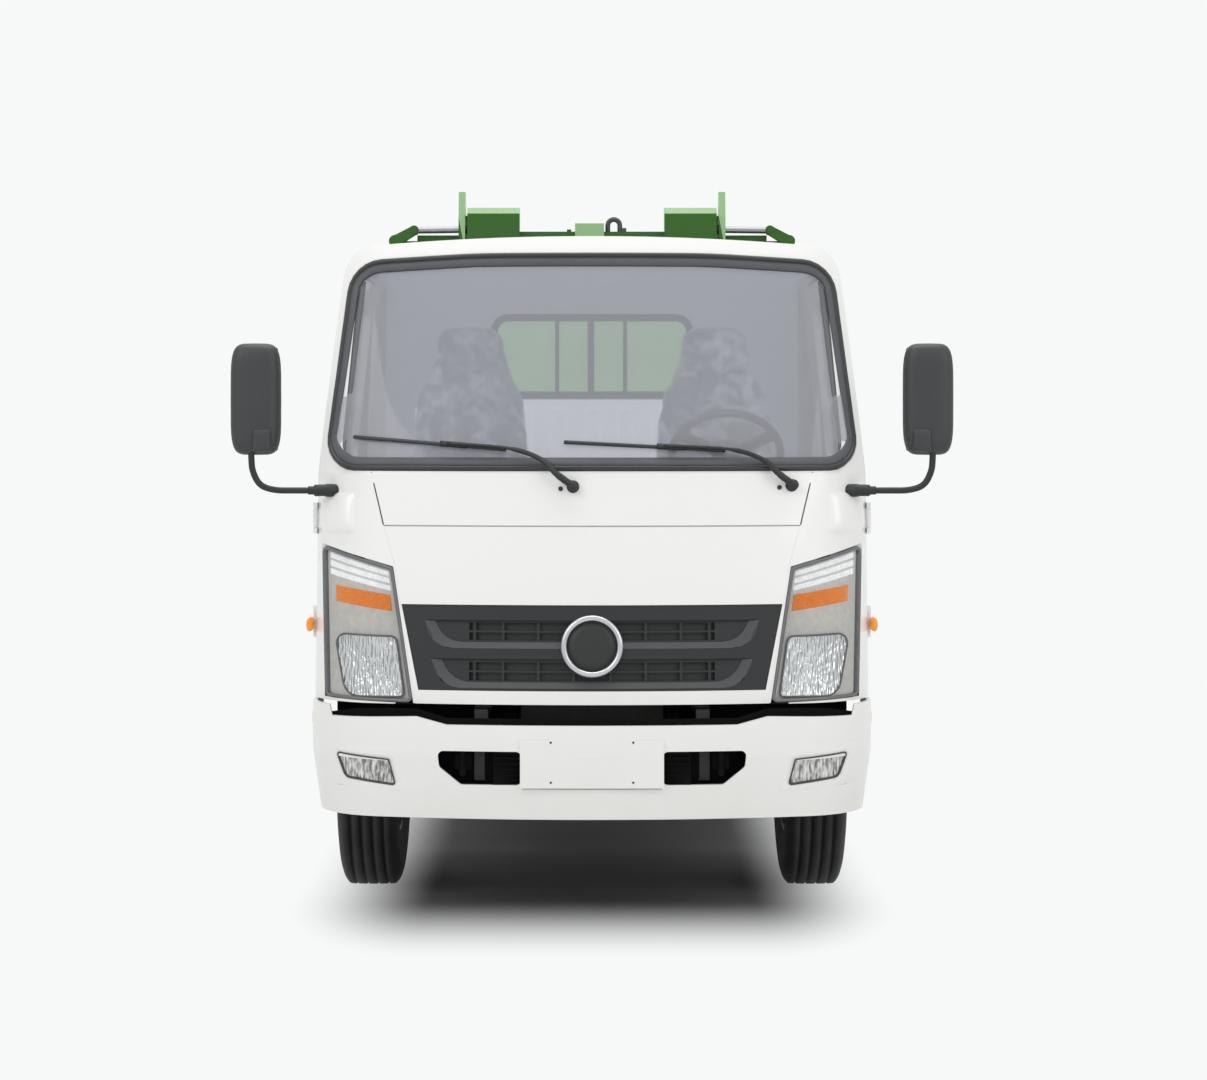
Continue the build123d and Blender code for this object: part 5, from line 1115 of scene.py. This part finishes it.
def sewn_foam(name, profile, half, x, cap):
    """A foam block from its side profile, swollen in its cover by a short cloth run."""
    count = len(profile)
    points = [(x + e * half, FRONT_Y + s, z) for e in (-1, 1) for s, z in profile]
    faces = [tuple(range(count)), tuple(range(count, 2 * count))] + net(2, count, closed=True)
    foam = new_piece(name, points, faces, seat_cloth, "cab")
    cells = foam.modifiers.new("cells", "REMESH")
    cells.mode, cells.voxel_size, cells.use_smooth_shade = "VOXEL", FOAM_CELL, True
    soften = foam.modifiers.new("soften", "SMOOTH")
    soften.iterations, soften.factor = 8, 0.5
    graph = bpy.context.evaluated_depsgraph_get()
    data = bpy.data.meshes.new_from_object(foam.evaluated_get(graph))
    foam.modifiers.clear()
    foam.data = data
    rest = [corner.co.copy() for corner in data.vertices]
    cover = foam.modifiers.new("cover", "CLOTH")
    cover.settings.quality = 4
    cover.settings.use_pressure = True
    cover.settings.uniform_pressure_force = 4
    cover.settings.effector_weights.gravity = 0
    for step in range(1, SWELLING_STEPS + 1):
        scene.frame_set(step)
    graph = bpy.context.evaluated_depsgraph_get()
    moved = [corner.co.copy() for corner in foam.evaluated_get(graph).data.vertices]
    foam.modifiers.remove(cover)
    for corner, start, end in zip(data.vertices, rest, moved):
        shift = end - start
        if shift.length > cap:
            shift *= cap / shift.length
        corner.co = start + shift
    scene.frame_set(1)
    return foam


for part, profile, half, cap, fill in SEAT_PARTS:
    first = sewn_foam(f"seat_{part}_left", profile, half, SEAT_X, cap)
    twin = bpy.data.objects.new(f"seat_{part}_right", first.data.copy())
    for corner in twin.data.vertices:
        corner.co.x -= 2 * SEAT_X
    scene.collection.objects.link(twin)
    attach(twin, "cab")
    if part == "cushion":
        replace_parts(first, "seats")
for name, x in (("r0_48", -0.48), ("r0_36", -0.36), ("l0_36", 0.36), ("l0_48", 0.48)):
    tube(f"headrest_post_{name}", [(x, FRONT_Y + s, z) for s, z in ((1.293, 1.62), (1.295, 1.67),
                                                                    (1.296, 1.72))], 0.006,
         chromed, "cab", sides=12)

# ---- seat films ----
# Each backrest and headrest still wears its clear polythene delivery bag, drawn in at the neck and
# creased on the slant. The creases carry pale streaks of painted highlight, and the film has a
# faint painted glow.
CREASE_MM = 66.67      # width of a crease in the film
CLEAR_SHARE = 0.85     # how much of the film is seen against what lies behind it
BAG = ((1.150, 0.200, 1.215, 0.085), (1.28, 0.198, 1.235, 0.085), (1.42, 0.194, 1.252, 0.080),
       (1.54, 0.188, 1.268, 0.075), (1.61, 0.178, 1.280, 0.070), (1.66, 0.158, 1.290, 0.064),
       (1.71, 0.134, 1.294, 0.056), (1.78, 0.114, 1.295, 0.052), (1.835, 0.104, 1.295, 0.048),
       (1.864, 0.080, 1.296, 0.028), (1.868, 0.010, 1.296, 0.005))   # z, half width, s, half depth
BAG_STEPS, BAG_LEVELS, SQUARENESS = 64, 60, 0.55
film, tree, shader = start_finish("clear polythene film", {"Roughness": 0.22,
                                                           "Emission Strength": 0.55})
place = add_node(tree, "TexCoord", out="Object")
crease = add_node(tree, "TexNoise", {"Vector": place, "Scale": 1000 / CREASE_MM, "Detail": 3.0,
                                     "Distortion": 0.9})
relief = add_node(tree, "Bump", {"Strength": 0.6, "Distance": 0.006, "Height": crease})
highlight_streak = add_node(tree, "MapRange", {"Value": crease, "From Min": 0.46, "From Max": 0.78})
colour = add_node(tree, "Mix", {0: highlight_streak, 6: linear("787B83"), 7: linear("C2C5CB")}, 2,
                  data_type="RGBA")
feed(shader, {"Base Color": colour, "Emission Color": colour, "Normal": relief})
clear = add_node(tree, "BsdfTransparent")
both = add_node(tree, "MixShader", {0: CLEAR_SHARE, 1: clear, 2: shader.outputs[0]})
feed(tree.nodes["Material Output"], {"Surface": both})
for side, hand in ((1, "left"), (-1, "right")):
    points = []
    for level in range(BAG_LEVELS + 1):
        share = level / BAG_LEVELS * (len(BAG) - 1)
        k = min(len(BAG) - 2, int(share))
        z, half, s, deep = (a + (b - a) * (share - k) for a, b in zip(BAG[k], BAG[k + 1]))
        for turn in range(BAG_STEPS):
            angle = 2 * math.pi * turn / BAG_STEPS
            c, q = math.cos(angle), math.sin(angle)
            x = math.copysign(abs(c) ** SQUARENESS, c) * half
            y = math.copysign(abs(q) ** SQUARENESS, q) * deep
            slant = noise.noise(Vector((x * 9 + z * 7 * side, y * 6, z * 3 + side)))
            fold = (1 - abs(slant) * 2.4) * 0.006 + noise.noise(Vector((x, y, z)) * 22) * 0.003
            grow = 1 + fold / max(0.03, half) * (level < BAG_LEVELS - 1)
            points.append((side * SEAT_X + x * grow, FRONT_Y + s + y * (1 + fold * 10), z))
    faces = net(BAG_LEVELS + 1, BAG_STEPS, closed=True)
    faces.append(tuple(range(BAG_LEVELS * BAG_STEPS, (BAG_LEVELS + 1) * BAG_STEPS)))
    new_piece(f"seat_film_{hand}", points, faces, film, "cab")

# ---- refuse body and roof gear ----
# Welded sheet steel in leaf green enamel. Faces of the roof steelwork that look up, its ear plates
# and its middle block are pale green as a painted highlight from the light above. The hose over the
# middle is black rubber on steel tails.
EAR_FACE = (0.462, 0.488)      # between these distances from the middle stand the ear plates
HIGHLIGHT_BLOCK = (-0.064, 0.046)
HOSE_END = 0.115
body_green = enamel("leaf green body enamel", "2C5C19", "5E6A48", 1.3, roughness=0.35)
feed(body_green.node_tree.nodes["Principled BSDF"], {"Coat IOR": 1.28,
                                                     "Specular IOR Level": 0.25})
dress(body_green, 0.003, "refuse_body", "roof_gear", "lid_left", "lid_right", "tailgate",
      "lift_arm")
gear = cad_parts["roof_gear"]
lit_slot = add_finish(gear, enamel("pale green painted highlight", "86AE78", "8E9A78", 1.3, 0.5))
hose = add_finish(gear, moulded("black hydraulic hose", "3A3B3C", 0.5))
for face in gear.data.polygons:
    x, z = face.center.x, face.center.z
    ear = EAR_FACE[0] < abs(x) < EAR_FACE[1] and z > 2.24
    highlight_block_face = HIGHLIGHT_BLOCK[0] < x < HIGHLIGHT_BLOCK[1] and z > 2.212
    # Painted highlight: faces that look up, the ear plates and the middle block take the pale
    # green.
    if face.normal.z > 0.3 or ear or highlight_block_face:
        face.material_index = lit_slot
    if 0.045 < x < HOSE_END and z > 2.234:
        face.material_index = hose

# ---- door trim ----
# Each door has a black rubber channel round its glass, a weather strip along the belt, a
# black pull handle in a shallow plate and a plated lock.
DOOR_GLASS = ((0.478, 1.410), (0.690, 1.950), (1.235, 1.950), (1.235, 1.410))    # s, z
GLASS_TURNS = (0.05, 0.045, 0.05, 0.05)
HANDLE = (   # name, place along the door, half length, half height, and how far it stands out
    ("plate", 0.0, 0.068, 0.030, (-0.001, 0.003)), ("pull", 0.0, 0.056, 0.011, (0.010, 0.020)),
    ("pivot_fore", -0.045, 0.008, 0.009, (0.002, 0.012)),
    ("pivot_aft", 0.045, 0.008, 0.009, (0.002, 0.012)),
)
flank_skin = surface_of("door_left", "door_right", "door_glass_left", "door_glass_right")


def on_flank(s, z, side):
    """The point of a door's outer face at s and z."""
    return touch(flank_skin, (side * 3, FRONT_Y + s, z), (-side, 0, 0))


for side, hand in ((1, "left"), (-1, "right")):
    across = Vector((side, 0, 0.12)).normalized()
    swept(f"door_glass_channel_{hand}",
          [(on_flank(p.x, p.y, side)[0], across) for p in rounded_outline(DOOR_GLASS, GLASS_TURNS)],
          [(-0.011, -0.002), (-0.009, 0.003), (0.006, 0.003), (0.010, -0.004)], seal_rubber,
          f"{hand}_door")
    swept(f"door_belt_strip_{hand}", [on_flank(0.49 + 0.74 * k / 10, 1.396, side)
                                      for k in range(11)],
          [(-0.008, -0.001), (-0.007, 0.004), (0.007, 0.004), (0.008, -0.001)], seal_rubber,
          f"{hand}_door", closed=False)
    spot, normal = on_flank(1.17, 1.285, side)
    for name, shift, long, high, out in HANDLE:
        new_piece(f"door_{name}_{hand}",
                  [spot + normal * d + Vector((0, shift + u * long, v * high))
                   for d in out for u in (-1, 1) for v in (-1, 1)],
                  BLOCK_FACES, black_plastic, f"{hand}_door", smooth=False, bevel=0.003)
    turned_piece(f"door_lock_{hand}", *on_flank(1.17, 1.238, side), [
        (0.012, -0.001), (0.012, 0.003), (0.009, 0.004), (0.0005, 0.004)], chrome_trim,
        f"{hand}_door", steps=24)

# ---- chassis ----
# Rails, axles and springs in black chassis paint over steel, dulled by road film. Rams have
# black barrels and hard chromed rods, and the exhaust is aluminised steel.
chassis_black = worked_steel("black chassis paint", "18191A", "3A3733", 0.5)
tank_grey = worked_steel("grey painted tank steel", "8A8C8E", "6E6B66", 0.45)
dress(chassis_black, 0.002, "chassis", "subframe", "tail_bar", "front_axle", "rear_axle",
      "leaf_springs", "knuckle_left", "knuckle_right", "driveline", "hoist_barrel",
      "gate_barrels", "lid_barrel_left", "lid_barrel_right")
dress(tank_grey, 0.003, "fuel_tank", "side_guards")
dress(bare_steel, 0, "exhaust", "hoist_stage")
dress(chromed, 0, "lid_rod_left", "lid_rod_right", "gate_rods", "hoist_rod")
dress(black_plastic, 0.003, "rear_mudguards", "battery_box")

# ---- tail lamps ----
# Three-chamber lamps of moulded acrylic in black housings are bolted to the tail bar: red
# outboard, amber in the middle, clear inboard.
TAIL_Y = FRONT_Y + 4.722
prism_red = lamp_finish("red acrylic lens", "C4201C", 0.15)
CHAMBERS = (("clear", 0.571, 0.640, prism_clear), ("amber", 0.643, 0.712, prism_amber),
            ("red", 0.715, 0.789, prism_red))
for side, hand in ((1, "left"), (-1, "right")):
    block(f"tail_lamp_house_{hand}", (side * 0.565, side * 0.795), (TAIL_Y, TAIL_Y + 0.030),
          (0.444, 0.516), black_plastic, "chassis_body", 0.005)
    for name, low, high, finish in CHAMBERS:
        area = ((low, 0.449), (high, 0.449), (high, 0.511), (low, 0.511))
        lens_body = prisms(area, 6, 6, 0.0025,
                           lambda p, up: (side * p.x, TAIL_Y + 0.0305 + up, p.y))
        new_piece(f"tail_lamp_{name}_{hand}", *lens_body, finish, "chassis_body", smooth=False)

# ---- chassis fittings ----
# Steel straps hold the fuel tank to its rail, and a black filler cap stands near its outer
# edge.
STRAP_LOOP = (   # x and z of a bend, and the way out there as x and z
    (-0.352, 0.693, 0, 1), (-0.690, 0.693, -0.3, 1), (-0.7035, 0.68, -1, 0.3),
    (-0.7035, 0.44, -1, -0.3), (-0.69, 0.4265, -0.3, -1), (-0.352, 0.4265, 0, -1))
for number, s in enumerate((1.98, 2.25, 2.52)):
    swept(f"tank_strap_{number}",
          [(Vector((x, FRONT_Y + s, z)), Vector((out_x, 0, out_z)).normalized())
           for x, z, out_x, out_z in STRAP_LOOP],
          [(-0.020, -0.001), (-0.020, 0.002), (0.020, 0.002), (0.020, -0.001)], chassis_black,
          "chassis_body", closed=False)
turned_piece("fuel_filler_neck", (-0.62, FRONT_Y + 2.12, 0.688), (0, 0, 1), [
    (0.042, 0.0), (0.042, 0.012), (0.052, 0.014), (0.052, 0.034), (0.046, 0.040), (0.0005, 0.041)],
    black_plastic, "chassis_body", steps=40)
